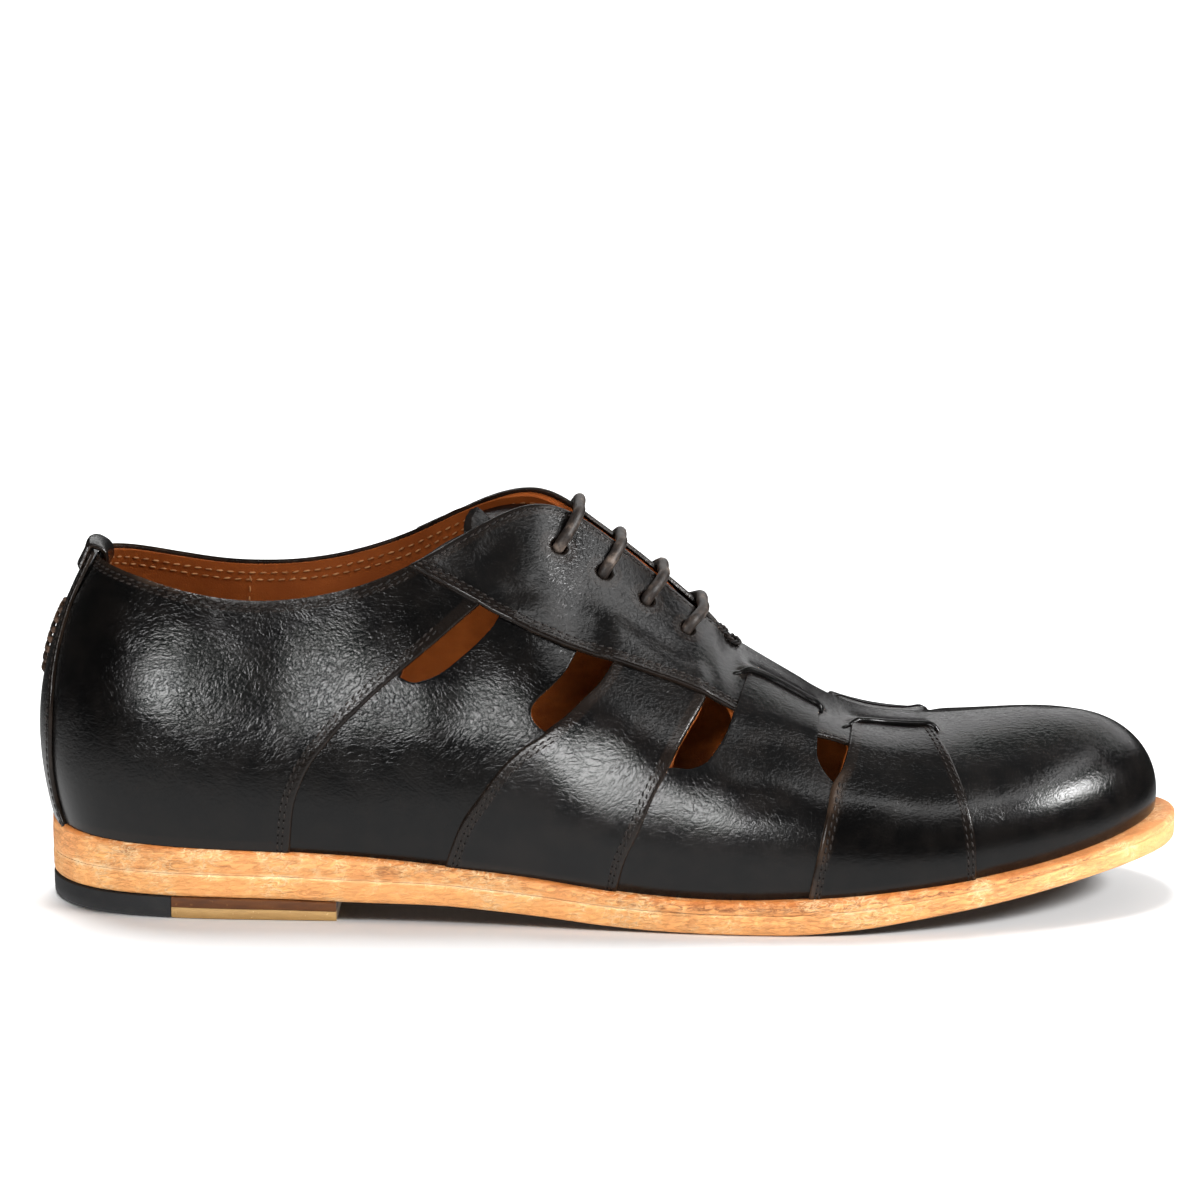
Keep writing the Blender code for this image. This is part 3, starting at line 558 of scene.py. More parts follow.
class Finish:
    def __init__(self, name, **fixed):
        self.material = bpy.data.materials.new(name)
        self.material.use_nodes = True
        self.tree = self.material.node_tree
        self.shader = self.tree.nodes["Principled BSDF"]
        for key, value in fixed.items():
            plug(self.tree, self.shader.inputs[key.replace("_", " ")], value)

    def node(self, kind, settings=None, links=None, out=0):
        made = self.tree.nodes.new(kind)
        for key, value in (settings or {}).items():
            if key == "stops":
                ramp = made.color_ramp.elements
                while len(ramp) < len(value):
                    ramp.new(0.5)
                for element, (place, colour) in zip(ramp, value):
                    element.position, element.color = place, (*colour, 1.0)
            else:
                setattr(made, key, value)
        for key, value in (links or {}).items():
            plug(self.tree, made.inputs[key], value)
        return Wire(self.tree, made.outputs[out])

    def place(self, scale=(1.0, 1.0, 1.0), turn=(0.0, 0.0, 0.0)):
        spot = self.node("ShaderNodeTexCoord", out="Object")
        turned = self.node("ShaderNodeMapping", links={"Vector": spot, "Rotation": turn})
        return self.node("ShaderNodeMapping", links={"Vector": turned, "Scale": scale})

    def ridges(self, spot, scale, sharp, detail=2.0, warp=0.5):
        return (1.0 - abs(self.noise(spot, scale, detail, 0.5, warp) * 2.0 - 1.0)) ** sharp

    def noise(self, spot, scale, detail=3.0, rough=0.55, warp=0.0):
        return self.node("ShaderNodeTexNoise", links={"Vector": spot, "Scale": scale, "Detail": detail,
                                                      "Roughness": rough, "Distortion": warp})

    def cells(self, spot, scale):
        links = {"Vector": spot, "Scale": scale}
        return self.node("ShaderNodeTexVoronoi", {"feature": "DISTANCE_TO_EDGE"}, links)

    def mark(self, name):
        return self.node("ShaderNodeAttribute", {"attribute_name": name}, out="Fac")

    def mix(self, share, first, second):
        return self.node("ShaderNodeMix", {"data_type": "RGBA"}, {0: share, 6: first, 7: second}, out=2)

    def ramp(self, share, *stops):
        return self.node("ShaderNodeValToRGB", {"stops": stops}, {0: share})

    def bump(self, height, depth, strength=1.0):
        return self.node("ShaderNodeBump", links={"Height": height, "Distance": depth, "Strength": strength})

    def feed(self, **links):
        for key, value in links.items():
            plug(self.tree, self.shader.inputs[key.replace("_", " ")], value)
        return self.material


# black calf: fine crinkled grain, polished, with brown at worn edges
calf = dict(black=(0.0021, 0.0020, 0.0020), warm=(0.0046, 0.0038, 0.0034), worn=(0.070, 0.043, 0.028),
            margin=(0.0125, 0.0082, 0.0060), wornWidth=0.30, marginWidth=3.4, patch=70.0, mottle=130.0,
            line=800.0, sharp=7.0, stretch=(0.45, 1.0, 1.0), turns=(0.1, 0.9, -0.7), fineSharp=3.0,
            fineStretch=(0.7, 1.0, 1.0), fineTurn=-0.5, grain=0.00014, bump=0.33, gloss=0.15, dull=0.25,
            specular=0.27)


def blackCalf(name, wear=0.25, wrinkle=1.0, hem=0.45):
    skin = Finish(name, Specular_IOR_Level=calf["specular"])
    even, edge = skin.place(), skin.mark("edge")
    patch, broad = skin.noise(even, calf["patch"], 2.0), skin.noise(even, calf["mottle"], 3.0)
    spots = [skin.place(calf["stretch"], (0.0, turn, 0.0)) for turn in calf["turns"]]
    level, steep, falling = (skin.ridges(spot, calf["line"], calf["sharp"]) for spot in spots)
    fineSpot = skin.place(calf["fineStretch"], (0.0, calf["fineTurn"], 0.0))
    fine = skin.ridges(fineSpot, 2.0 * calf["line"], calf["fineSharp"], 1.0)
    lean, drop = patch.between(0.46, 0.58), 1.0 - patch.between(0.40, 0.50)
    strokes = level * (1.0 - 0.7 * lean) * (1.0 - 0.6 * drop)
    strokes = strokes + steep * (0.2 + 0.8 * lean) + falling * (0.1 + 0.9 * drop)
    low = 1.0 - skin.mark("rise").between(0.02, 0.60)
    creased = strokes * (1.0 - 0.6 * low) * wrinkle
    normal = skin.bump(1.0 - creased * 0.9 - fine * 0.16 * wrinkle, calf["grain"], calf["bump"])
    rubbed = skin.mark("rub") * (0.2 + 0.8 * broad.between(0.40, 0.60))
    frayed = (1.0 - edge.between(0.04, calf["wornWidth"])) * (0.3 + 0.7 * broad.between(0.38, 0.62)) * wear
    plain = skin.mix(broad.between(0.35, 0.70), calf["black"], calf["warm"])
    sewn = (1.0 - edge.between(0.8 * calf["marginWidth"], calf["marginWidth"])) * hem
    colour = skin.mix((frayed + rubbed).least(1.0), skin.mix(sewn, plain, calf["margin"]), calf["worn"])
    shine = calf["gloss"] + (calf["dull"] - calf["gloss"]) * (broad.between(0.3, 0.75) * 0.6 + low * 0.4)
    return skin.feed(Base_Color=colour, Roughness=shine, Normal=normal)


# tan lining leather: smooth, with soft mottle and faint folds, and painted shade that darkens it towards the
# ridge
liningTan = dict(light=(0.31, 0.080, 0.0140), dark=(0.13, 0.029, 0.0048), grain=0.00016, bump=0.5,
                 specular=0.12, shadeFrom=0.62, shadeTo=0.88, shade=0.75)


def tanLining(name):
    skin = Finish(name, Specular_IOR_Level=liningTan["specular"])
    even, along = skin.place(), skin.place((0.5, 1.0, 1.0))
    mottle, streak = skin.noise(even, 55.0, 4.0), skin.noise(along, 260.0, 3.0)
    pores = skin.cells(even, 1300.0).between(0.0, 0.3)
    # painted shade: the lining's colour darkens towards the top of the wall
    shade = 1.0 - liningTan["shade"] * skin.mark("rise").between(liningTan["shadeFrom"], liningTan["shadeTo"])
    tone = (mottle.between(0.3, 0.72) * 0.75 + streak.between(0.4, 0.7) * 0.25) * shade
    colour = skin.mix(tone, liningTan["dark"], liningTan["light"])
    normal = skin.bump(pores * 0.4 + streak * 0.6, liningTan["grain"], liningTan["bump"])
    return skin.feed(Base_Color=colour, Roughness=0.46 + 0.18 * mottle, Normal=normal)


# sole leather: cut edge with long fibres, short cracks, pale crackle, a burnished rim and a dirty tread
soleTan = dict(pale=(0.84, 0.420, 0.135), orange=(0.74, 0.325, 0.115), brown=(0.23, 0.080, 0.026),
               scuff=(0.90, 0.62, 0.34), rim=(0.50, 0.150, 0.028), dirt=(0.055, 0.034, 0.022), grain=0.0005,
               bump=0.9, specular=0.25, toeFrom=0.07, toeTo=0.15, foreFrom=-0.03, foreTo=0.03, seamWidth=0.13)
# stretch along the edge, turn, scale, detail, roughness and warp of each noise
soleNoises = dict(fibre=(0.12, 0.0, 1000.0, 5.0, 0.65, 0.0), streak=(0.2, 0.05, 330.0, 5.0, 0.65, 0.3),
                  mottle=(1.0, 0.0, 85.0, 5.0, 0.6, 0.0), stain=(0.6, 0.0, 45.0, 4.0, 0.6, 0.0),
                  speckle=(0.35, 0.08, 1000.0, 4.0, 0.7, 0.8))
# stretch along the edge, turn, scale, sharpness, detail and warp of each kind of crack
soleCracks = dict(dashes=(0.20, 0.06, 560.0, 14.0, 3.0, 0.8), crackle=(0.5, 0.2, 620.0, 12.0, 3.0, 0.9))


def soleLeather(name, golden=0.0, stained=1.0, rim=0.0, seam=0.0):
    hide = Finish(name, Specular_IOR_Level=soleTan["specular"])
    tall = hide.mark("tall")

    def spot(stretch, turn):
        return hide.place((stretch, stretch, 1.0), (0.0, turn, 0.0))

    noises = [hide.noise(spot(*row[:2]), *row[2:]) for row in soleNoises.values()]
    fibre, streak, mottle, stain, speckle = noises
    dashes, crackle = (hide.ridges(spot(*row[:2]), *row[2:]) for row in soleCracks.values())
    dashes, crackle = dashes * stain.between(0.44, 0.60), crackle * mottle.between(0.44, 0.60)
    speckle = speckle.between(0.44, 0.60)
    along = hide.node("ShaderNodeSeparateXYZ", links={"Vector": hide.place()}, out="X")
    toe, fore = (along.between(soleTan[key + "From"], soleTan[key + "To"]) for key in ("toe", "fore"))
    aged = (0.30 + 0.60 * fore * stain.between(0.34, 0.54)) * stained * tall.between(0.10, 0.35)
    blond = (mottle.between(0.34, 0.66) * 0.6 + golden + 0.3 * toe).least(1.0)
    streaked = (streak.between(0.54, 0.74) * 0.55 + dashes * 0.75).least(1.0) * stained
    flecked = (fibre.between(0.56, 0.74) * 0.45 * stained + speckle * aged).least(1.0)
    burnished = tall.between(0.80 - 0.45 * fore, 0.95) * rim
    joint = 1.0 - abs(tall - seam).between(0.0, soleTan["seamWidth"])
    joint = joint * (0.25 * (1.0 - fore) + 0.5 * mottle.between(0.42, 0.60))
    rubbed = (crackle * 0.8 + (1.0 - fibre.between(0.26, 0.42)) * 0.35 + 0.12 * toe + joint).least(1.0)
    colour = hide.mix(blond, soleTan["orange"], soleTan["pale"])
    for share, tone in ((streaked, "brown"), (flecked, "brown"), (burnished, "rim"), (rubbed, "scuff"),
                        ((0.0 - tall).between(0.1, 0.7), "dirt")):
        colour = hide.mix(share, colour, soleTan[tone])
    relief = 1.0 - fibre * 0.5 - streak * 0.3 - dashes * 0.5 + crackle * 0.5 - speckle * 0.3
    normal = hide.bump(relief, soleTan["grain"], soleTan["bump"])
    return hide.feed(Base_Color=colour, Roughness=0.44 + 0.2 * fibre, Normal=normal)


def stackedLift(name, low, high, speck):
    hide = Finish(name, Specular_IOR_Level=0.35)
    fibre = hide.noise(hide.place((0.2, 0.2, 1.0)), 500.0, 4.0, 0.6, 0.3)
    flecks = hide.noise(hide.place(), 900.0, 2.0)
    first = hide.mix(fibre.between(0.3, 0.7), low, high)
    colour = hide.mix(flecks.between(0.66, 0.74) * 0.7, first, speck)
    normal = hide.bump(fibre + flecks * 0.3, 0.0003, 0.6)
    return hide.feed(Base_Color=colour, Roughness=0.5 + 0.2 * fibre, Normal=normal)


def heelRubberFinish(name):
    rubber = Finish(name, Specular_IOR_Level=0.4)
    dust = rubber.noise(rubber.place(), 160.0, 4.0)
    grit = rubber.noise(rubber.place(), 1600.0, 2.0)
    colour = rubber.mix(dust.between(0.45, 0.75), (0.010, 0.010, 0.011), (0.019, 0.0185, 0.0185))
    return rubber.feed(Base_Color=colour, Roughness=0.55 + 0.2 * dust, Normal=rubber.bump(grit, 0.0001, 0.4))


def waxedCord(name):
    cord = Finish(name, Specular_IOR_Level=0.5)
    worn = cord.noise(cord.place(), 330.0, 4.0, 0.6)
    weave = cord.noise(cord.place((1.0, 1.0, 1.0), (0.6, 0.3, 0.0)), 2300.0, 2.0)
    colour = cord.ramp(worn, (0.36, (0.012, 0.0075, 0.0055)), (0.52, (0.036, 0.025, 0.019)),
                       (0.68, (0.16, 0.12, 0.095)))
    normal = cord.bump(weave + worn * 0.6, 0.00018, 0.5)
    return cord.feed(Base_Color=colour, Roughness=0.42 + 0.2 * worn, Normal=normal)


def sewingThread(name, low, high):
    thread = Finish(name, Specular_IOR_Level=0.4)
    tone = thread.noise(thread.place(), 420.0, 2.0)
    twist = thread.noise(thread.place((1.0, 1.0, 1.0), (0.3, 0.5, 0.2)), 3200.0, 2.0)
    colour = thread.mix(tone.between(0.35, 0.65), low, high)
    normal = thread.bump(twist, 0.0001, 0.5)
    return thread.feed(Base_Color=colour, Roughness=0.5 + 0.15 * tone, Normal=normal)


# needle holes drawn as dark matte blobs between the stitches: painted shade in the holes
def needleHoleShade(name):
    hole = Finish(name, Specular_IOR_Level=0.1)
    tone = hole.noise(hole.place(), 500.0, 2.0)
    return hole.feed(Base_Color=hole.mix(tone, (0.002, 0.002, 0.002), (0.008, 0.005, 0.004)), Roughness=0.9)


calfSkin = blackCalf("blackCalf")
strapSkin = blackCalf("strapCalf", wear=0.4)
wallSkin = blackCalf("wallCalf", hem=0.0)
toeSkin = blackCalf("facingCalf", wear=0.15, wrinkle=0.8)
tongueSkin = blackCalf("tongueCalf", wrinkle=0.8)
liningSkin = tanLining("liningTan")
outsoleHide = soleLeather("outsoleTan", golden=0.15, stained=0.4, seam=1.0)
midsoleHide = soleLeather("midsoleTan", rim=0.75)
liftHide = stackedLift("liftBrown", (0.066, 0.019, 0.003), (0.112, 0.036, 0.007), (0.18, 0.070, 0.018))
topPieceHide = stackedLift("topPieceGolden", (0.28, 0.155, 0.048), (0.37, 0.22, 0.075), (0.55, 0.38, 0.18))
rubberSkin = heelRubberFinish("heelRubber")
cordSkin = waxedCord("waxedCord")
darkThread = sewingThread("darkThread", (0.0045, 0.0034, 0.0030), (0.020, 0.013, 0.010))
brownThread = sewingThread("brownThread", (0.026, 0.015, 0.010), (0.120, 0.066, 0.040))
tanThread = sewingThread("tanThread", (0.24, 0.090, 0.026), (0.42, 0.19, 0.070))
paintedHoleShade = needleHoleShade("needleHoleShade")
print("finishes made")

# soft dents and rolls of worn leather: station, rise, reach along, reach up, height in mm
creases = [
    (2.3, 0.60, 0.60, 0.22, 0.35), (4.1, 0.68, 0.55, 0.20, -0.65), (5.8, 0.64, 0.75, 0.18, 0.60),
    (3.9, 0.76, 0.25, 0.06, 0.12), (3.4, 0.80, 0.25, 0.06, -0.13), (2.9, 0.88, 0.35, 0.05, 0.15),
    (1.3, 0.30, 0.45, 0.14, -0.30), (5.0, 0.28, 0.40, 0.10, -0.25), (5.9, 0.42, 0.40, 0.09, 0.30),
    (6.9, 0.40, 0.35, 0.07, 0.20), (7.6, 0.56, 0.30, 0.05, 0.25), (6.6, 0.30, 0.45, 0.06, -0.20),
    (9.0, 0.12, 0.90, 0.13, 1.20), (9.7, 0.46, 0.90, 0.14, 1.60),
    (11.4, 0.36, 0.35, 0.05, 0.35), (12.0, 0.30, 0.35, 0.04, -0.30), (12.1, 0.48, 0.30, 0.05, -0.30),
    (13.4, 0.34, 0.35, 0.05, 0.30), (14.0, 0.42, 0.35, 0.05, -0.20), (14.1, 0.67, 0.50, 0.10, 0.15),
    (7.4, 0.90, 0.30, 0.05, -0.45), (8.0, 0.76, 0.55, 0.035, -0.40), (9.4, 0.74, 0.55, 0.03, 0.30),
    (10.5, 0.75, 0.45, 0.035, -0.35), (16.2, 0.45, 0.5, 0.10, 0.20), (15.6, 0.62, 0.4, 0.07, -0.20),
]

# how the collar's top turns in, and where that ends towards the throat; creases fade at the welt
collarRoll = {"from": 0.74, "depth": 1.1, "endFrom": 6.5, "endTo": 8.5}
creaseFoot = 0.12


def softness(station, rise):
    total = np.zeros_like(station)
    for at, up, reach, tall, height in creases:
        total = total + height * np.exp(-((station - at) / reach) ** 2 - ((rise - up) / tall) ** 2)
    rolled = np.clip((rise - collarRoll["from"]) / (1.0 - collarRoll["from"]), 0.0, 1.0) ** 2
    rolled = rolled * (1.0 - smoothStep(collarRoll["endFrom"], collarRoll["endTo"], station))
    return (total - collarRoll["depth"] * rolled) * smoothStep(0.0, creaseFoot, rise)


lowEdge = -0.012                 # panels tuck a little way into the sole
ridgeLine = [(lastStation, 1.0), (15.0, 1.0), (throatEnd, 1.0)]


def seatFoot(start, end):
    return [(start, lowEdge), ((start + end) / 2.0, lowEdge), (end, lowEdge)]


def upright(station, top):
    return [(station, lowEdge), (station, 0.5), (station, top)]


def flatAt(height):
    return lambda station, rise: np.full_like(station, height)


# lining: the inner layer of the wall, with the cut-outs
liningCut = dict(inner=-2.0, outer=-1.05, throat=1.0, throatFrom=7.6, throatTo=10.6, throatSoft=0.3,
                 riseFrom=0.945, riseTo=0.965, eyelet=2.0, top=0.99, throatTop=0.992, roundness=0.35,
                 cell=2.0)
liningTop = [(throatEnd, 1.0), (9.0, liningCut["throatTop"]), (6.0, liningCut["throatTop"]),
             (3.0, liningCut["top"]), (0.0, liningCut["top"])]
liningPattern = cutPattern(
    [seatFoot(0.0, lastStation), upright(lastStation, 1.0), ridgeLine, liningTop,
     upright(0.0, liningCut["top"])[::-1]],
    [closedHole(places) for places in cutOuts]
    + [ringHole(place, liningCut["eyelet"]) for place in eyelets],
    liningCut["cell"])


def liningOuter(station, rise):
    throat = window(station, liningCut["throatFrom"], liningCut["throatTo"], liningCut["throatSoft"])
    throat = throat * smoothStep(liningCut["riseFrom"], liningCut["riseTo"], rise)
    return liningCut["outer"] + liningCut["throat"] * throat


liningPiece = layPanel("upper_lining", liningPattern, bothSides, flatAt(liningCut["inner"]), liningOuter,
                       liningCut["roundness"], liningSkin)
dress(liningPiece, "lining_leather")

# rear wall with the plain strip behind the middle strap, and the strip in front of it
wallCut = dict(floor=-1.0, thick=1.0, soft=0.8, roundness=0.4, cell=1.9, stripCell=1.5, eyelet=2.0, over=1.55,
               overFrom=0.50, overTo=0.63)
rearFront = [(7.75, lowEdge), (8.2, 0.14), (9.0, 0.29), (9.75, 0.46), (10.35, 0.62), (10.6, 0.94)]
rearTop = [(10.6, 0.94), (9.0, 0.94), (7.7, 0.945), (7.0, 0.998), (6.0, 0.998), (3.0, 0.998), (0.0, 0.998)]
rearPattern = cutPattern(
    [seatFoot(0.0, 7.75), rearFront, rearTop, upright(0.0, 0.998)[::-1]],
    [closedHole(places) for places in cutOuts[:2]]
    + [ringHole(place, wallCut["eyelet"]) for place in eyelets[:3]],
    wallCut["cell"])


def rearOuter(station, rise):
    return softness(station, rise) * wallCut["soft"]


rearPiece = layPanel("upper", rearPattern, bothSides, flatAt(wallCut["floor"]), rearOuter,
                     wallCut["roundness"], wallSkin)
dress(rearPiece, "upper_leather", "upper")


def stripFloor(station, rise):
    return wallCut["floor"] + wallCut["over"] * smoothStep(wallCut["overFrom"], wallCut["overTo"], rise)


def stripOuter(station, rise):
    return stripFloor(station, rise) + wallCut["thick"] + softness(station, rise)


stripPattern = cutPattern(
    [seatFoot(7.80, 13.6), [(13.6, lowEdge), (13.6, 0.12), (13.55, 0.27), (13.20, 0.36)],
     strapFourFront[::-1], [(13.02, 0.835), (12.7, 0.855), (12.30, 0.850)], strapFourRear[::-1],
     [(10.05, 0.345), (9.05, 0.28), (8.25, 0.14), (7.80, lowEdge)]], cell=wallCut["stripCell"])
stripPiece = layPanel("upper_strip", stripPattern, bothSides, stripFloor, stripOuter, wallCut["roundness"],
                      wallSkin)
dress(stripPiece, "upper_leather")
print("wall laid", len(rearPattern["faces"]), len(stripPattern["faces"]))

# eyestay, spine and toe in one piece, with two slits for the straps
facingCut = dict(thick=1.5, toeThick=1.0, roundness=0.85, cell=1.2, eyelet=1.85, clear=0.05, over=1.1,
                 flat=0.45, ridge=0.15, lip=1.75, lipWidth=0.06, strapFrom=9.35, strapTo=11.25,
                 spineFrom=11.45, spineTo=12.05, flatFrom=14.6, flatTo=15.3)
quarterEnds = np.array([(0.70, 7.7), (0.775, 7.35), (0.86, 6.9),
                        (1.0, 6.3)])     # rise, and station of its end


def lipRise(lip, station):
    along = np.array(lip[2:-2])                            # without its turned ends
    return np.interp(station, along[:, 0], along[:, 1])


def facingTop(station, rise):
    past = station - np.interp(rise, *quarterEnds.T)
    over = facingCut["over"] * (1.0 - smoothStep(0.0, 0.4, past))
    straps = window(station, facingCut["strapFrom"], facingCut["strapTo"], 0.22)
    over = over + facingCut["over"] * straps * (1.0 - smoothStep(0.70, 0.80, rise))
    eyestay = facingCut["thick"] + facingCut["clear"] + over
    flat = 1.0 - smoothStep(facingCut["flatFrom"], facingCut["flatTo"], station)
    spine = facingCut["flat"] * flat * np.ones_like(rise)
    for lip, (start, end) in zip(slitLips, slitSpans):
        edge = lipRise(lip, station)
        above = smoothStep(edge - 0.025, edge + 0.004, rise) * window(station, start + 0.03, end + 0.03, 0.09)
        hump = np.exp(-((rise - edge) / facingCut["lipWidth"]) ** 2)
        spine = spine + above * (facingCut["ridge"] + facingCut["lip"] * hump)
    share = smoothStep(facingCut["spineFrom"], facingCut["spineTo"], station)
    creased = softness(station, rise) * (0.5 + 0.5 * (station < 11.0))       # half as soft over the spine
    return eyestay * (1.0 - share) + spine * share + creased


def facingFloor(station, rise):
    thin = facingCut["toeThick"] - facingCut["thick"]
    return facingTop(station, rise) - (facingCut["thick"] + thin * smoothStep(11.4, 12.0, station))


facingPattern = cutPattern(
    [eyestayLow, [(14.20, 0.56), (14.45, 0.45), (14.5, 0.25), (14.5, lowEdge)], seatFoot(14.5, lastStation),
     upright(lastStation, 1.0), ridgeLine, [(throatEnd, 1.0), (10.0, 1.0), (8.0, 1.0), (6.02, 1.0)]],
    [slitHole(lip, span) for lip, span in zip(slitLips, slitSpans)]
    + [ringHole(place, facingCut["eyelet"]) for place in eyelets], facingCut["cell"])
facingPiece = layPanel("facing", facingPattern, bothSides, facingFloor, facingTop, facingCut["roundness"],
                       toeSkin)
dress(facingPiece, "overlay_leather", "facing")
print("facing laid", len(facingPattern["faces"]))

# quarters and the two wide straps, one of each a side
overlayCut = dict(floor=0.05, thick=1.1, roundness=0.8, cell=1.6, frontOver=0.5, frontFrom=0.52, frontTo=0.62)
collarWear = dict(depth=0.8, riseFrom=0.975, riseTo=0.995, endFrom=1.8, endTo=3.4)
seamWear = dict(depth=0.6, widthFrom=0.8, widthTo=3.4, riseFrom=0.40, riseTo=0.50, stationLength=17.0)


def overlayTop(station, rise):
    return overlayCut["floor"] + overlayCut["thick"] + softness(station, rise)


def strapFrontFloor(station, rise):
    over = smoothStep(overlayCut["frontFrom"], overlayCut["frontTo"], rise)
    return overlayCut["floor"] + overlayCut["frontOver"] * over


def strapFrontTop(station, rise):
    return strapFrontFloor(station, rise) + overlayCut["thick"] + softness(station, rise)


def collarRub(station, rise):
    atHeel = 1.0 - smoothStep(collarWear["endFrom"], collarWear["endTo"], station)
    return collarWear["depth"] * smoothStep(collarWear["riseFrom"], collarWear["riseTo"], rise) * atHeel


def seamRub(station, rise):
    edge = np.interp(rise, *np.array(strapFrontRear)[:8, ::-1].T)
    ahead = (station - edge) * seamWear["stationLength"]
    near = 1.0 - smoothStep(seamWear["widthFrom"], seamWear["widthTo"], ahead)
    return seamWear["depth"] * near * (1.0 - smoothStep(seamWear["riseFrom"], seamWear["riseTo"], rise))


overlayFloor = flatAt(overlayCut["floor"])
quarterPattern = cutPattern(
    [seatFoot(0.3, 4.23), quarterFront, [(7.30, 0.77), (6.85, 0.86), (6.45, 0.94), (6.25, 1.0)],
     [(6.25, 1.0), (4.0, 1.0), (2.0, 1.0), (0.3, 1.0)], upright(0.3, 1.0)[::-1]], cell=overlayCut["cell"])
strapMidPattern = cutPattern(
    [seatFoot(6.14, 9.26), strapMidFront, [(11.32, 0.69), (10.4, 0.695), (9.60, 0.68)], strapMidRear[::-1]],
    cell=overlayCut["cell"])
strapFrontPattern = cutPattern(
    [seatFoot(12.38, 14.84), strapFrontFront, [(14.76, 0.855), (14.2, 0.858), (13.76, 0.82)],
     strapFrontRear[::-1]],
    cell=overlayCut["cell"])
for side, word in ((lateral, "lateral"), (medial, "medial")):
    for name, pattern, floorAt, topAt, skin, rubAt in (
            ("quarter", quarterPattern, overlayFloor, overlayTop, calfSkin, collarRub),
            ("strap_mid", strapMidPattern, overlayFloor, overlayTop, calfSkin, None),
            ("strap_front", strapFrontPattern, strapFrontFloor, strapFrontTop, strapSkin, seamRub)):
        node = f"{name}_{word}"
        piece = layPanel(node, pattern, (side,), floorAt, topAt, overlayCut["roundness"], skin, rubAt)
        dress(piece, "overlay_leather", node)

# backstay over the back seam
backstayCut = dict(floor=1.2, thick=1.1, roundness=0.5, cell=1.5)
backstayTop = flatAt(backstayCut["floor"] + backstayCut["thick"])
backstayPattern = cutPattern(
    [seatFoot(0.0, 0.84), backstayEdge, [(0.64, 1.0), (0.3, 1.0), (0.0, 1.0)], upright(0.0, 1.0)[::-1]],
    cell=backstayCut["cell"])
backstayPiece = layPanel("backstay", backstayPattern, bothSides, flatAt(backstayCut["floor"]), backstayTop,
                         backstayCut["roundness"], calfSkin)
dress(backstayPiece, "overlay_leather", "backstay")
print("overlays laid")


# closed piece from a grid of points, thickened on both faces
def gridSolid(name, grid, thickness, roundness, material):
    across = np.gradient(grid, axis=1)
    along = np.gradient(grid, axis=0)
    normal = np.cross(along, across)
    normal /= np.maximum(np.linalg.norm(normal, axis=2, keepdims=True), 1e-9)
    rows, columns = grid.shape[:2]
    step = [np.linalg.norm(each, axis=2) for each in (along, across)]
    fromEnd = np.minimum(np.arange(rows)[:, None], np.arange(rows)[::-1][:, None]) * step[0]
    fromSide = np.minimum(np.arange(columns)[None], np.arange(columns)[::-1][None]) * step[1]
    edge = np.minimum(fromEnd, fromSide)
    near = np.clip(1.0 - edge / roundness, 0.0, 1.0)
    half = thickness / 2.0 - roundness * (1.0 - np.sqrt(1.0 - near ** 2))
    half = np.maximum(half, leastThick)[..., None]
    points = np.concatenate([(grid + normal * half).reshape(-1, 3), (grid - normal * half).reshape(-1, 3)])
    count = rows * columns
    polygons = []
    for row in range(rows - 1):
        for cell in range(columns - 1):
            first = row * columns + cell
            loop = [first, first + columns, first + columns + 1, first + 1]
            polygons += [loop, [corner + count for corner in loop[::-1]]]
    rim = list(range(columns)) + [row * columns + columns - 1 for row in range(1, rows)]
    rim += [(rows - 1) * columns + column for column in range(columns - 2, -1, -1)]
    rim += [row * columns for row in range(rows - 2, 0, -1)]
    for first, second in zip(rim, rim[1:] + rim[:1]):
        polygons.append([first, second, second + count, first + count])
    marks = np.concatenate([edge.ravel(), edge.ravel()])
    return plainMesh(name, points, polygons, material, dict(edge=marks, rise=marks * 0.0 + 0.5))


# tongue under the eyestays
tongueCut = dict(thick=1.5, roundness=0.6, depth=-3.6, crown=-0.10, corner=0.06, cornerAt=7.1,
                 cornerWidth=0.17, medialDrop=0.03, rows=90, walls=16, span=26)
# station, rise at which it starts, rise at which it leaves the wall
tongueRows = np.array([(6.95, 0.93, 1.00), (7.40, 0.87, 1.00), (7.90, 0.82, 1.00), (8.50, 0.78, 1.00),
                       (9.20, 0.77, 1.00), (9.90, 0.76, 1.00), (10.60, 0.77, 1.00), (11.20, 0.78, 0.98),
                       (11.80, 0.80, 0.95), (12.40, 0.82, 0.93)])
tongueGrid = []
for station in np.linspace(tongueRows[0, 0], tongueRows[-1, 0], tongueCut["rows"]):
    low, leave = (np.interp(station, tongueRows[:, 0], tongueRows[:, index]) for index in (1, 2))
    near = (station - tongueCut["cornerAt"]) / tongueCut["cornerWidth"]
    corner = tongueCut["corner"] * math.exp(-near ** 2)
    halves = []
    for side in bothSides:
        top = leave + (corner if side == lateral else -tongueCut["medialDrop"])
        rise = np.linspace(low, top, tongueCut["walls"])
        halves.append(raised(np.full_like(rise, station), rise, side, np.full_like(rise, tongueCut["depth"])))
    left, right = halves[0], halves[1][::-1]
    share = np.linspace(0.0, 1.0, tongueCut["span"])[1:-1, None]
    span = np.linalg.norm(right[0] - left[-1])
    crown = np.array([0.0, 0.0, tongueCut["crown"] * span]) * 4.0 * share * (1.0 - share)
    tongueGrid.append(np.concatenate([left, left[-1] * (1.0 - share) + right[0] * share + crown, right]))
tonguePiece = gridSolid("tongue", np.array(tongueGrid), tongueCut["thick"], tongueCut["roundness"],
                        tongueSkin)
dress(tonguePiece, "tongue_leather", "tongue")


cordEnd = dict(size=0.55, dome=0.3)        # a cord's ends, as shares of its radius


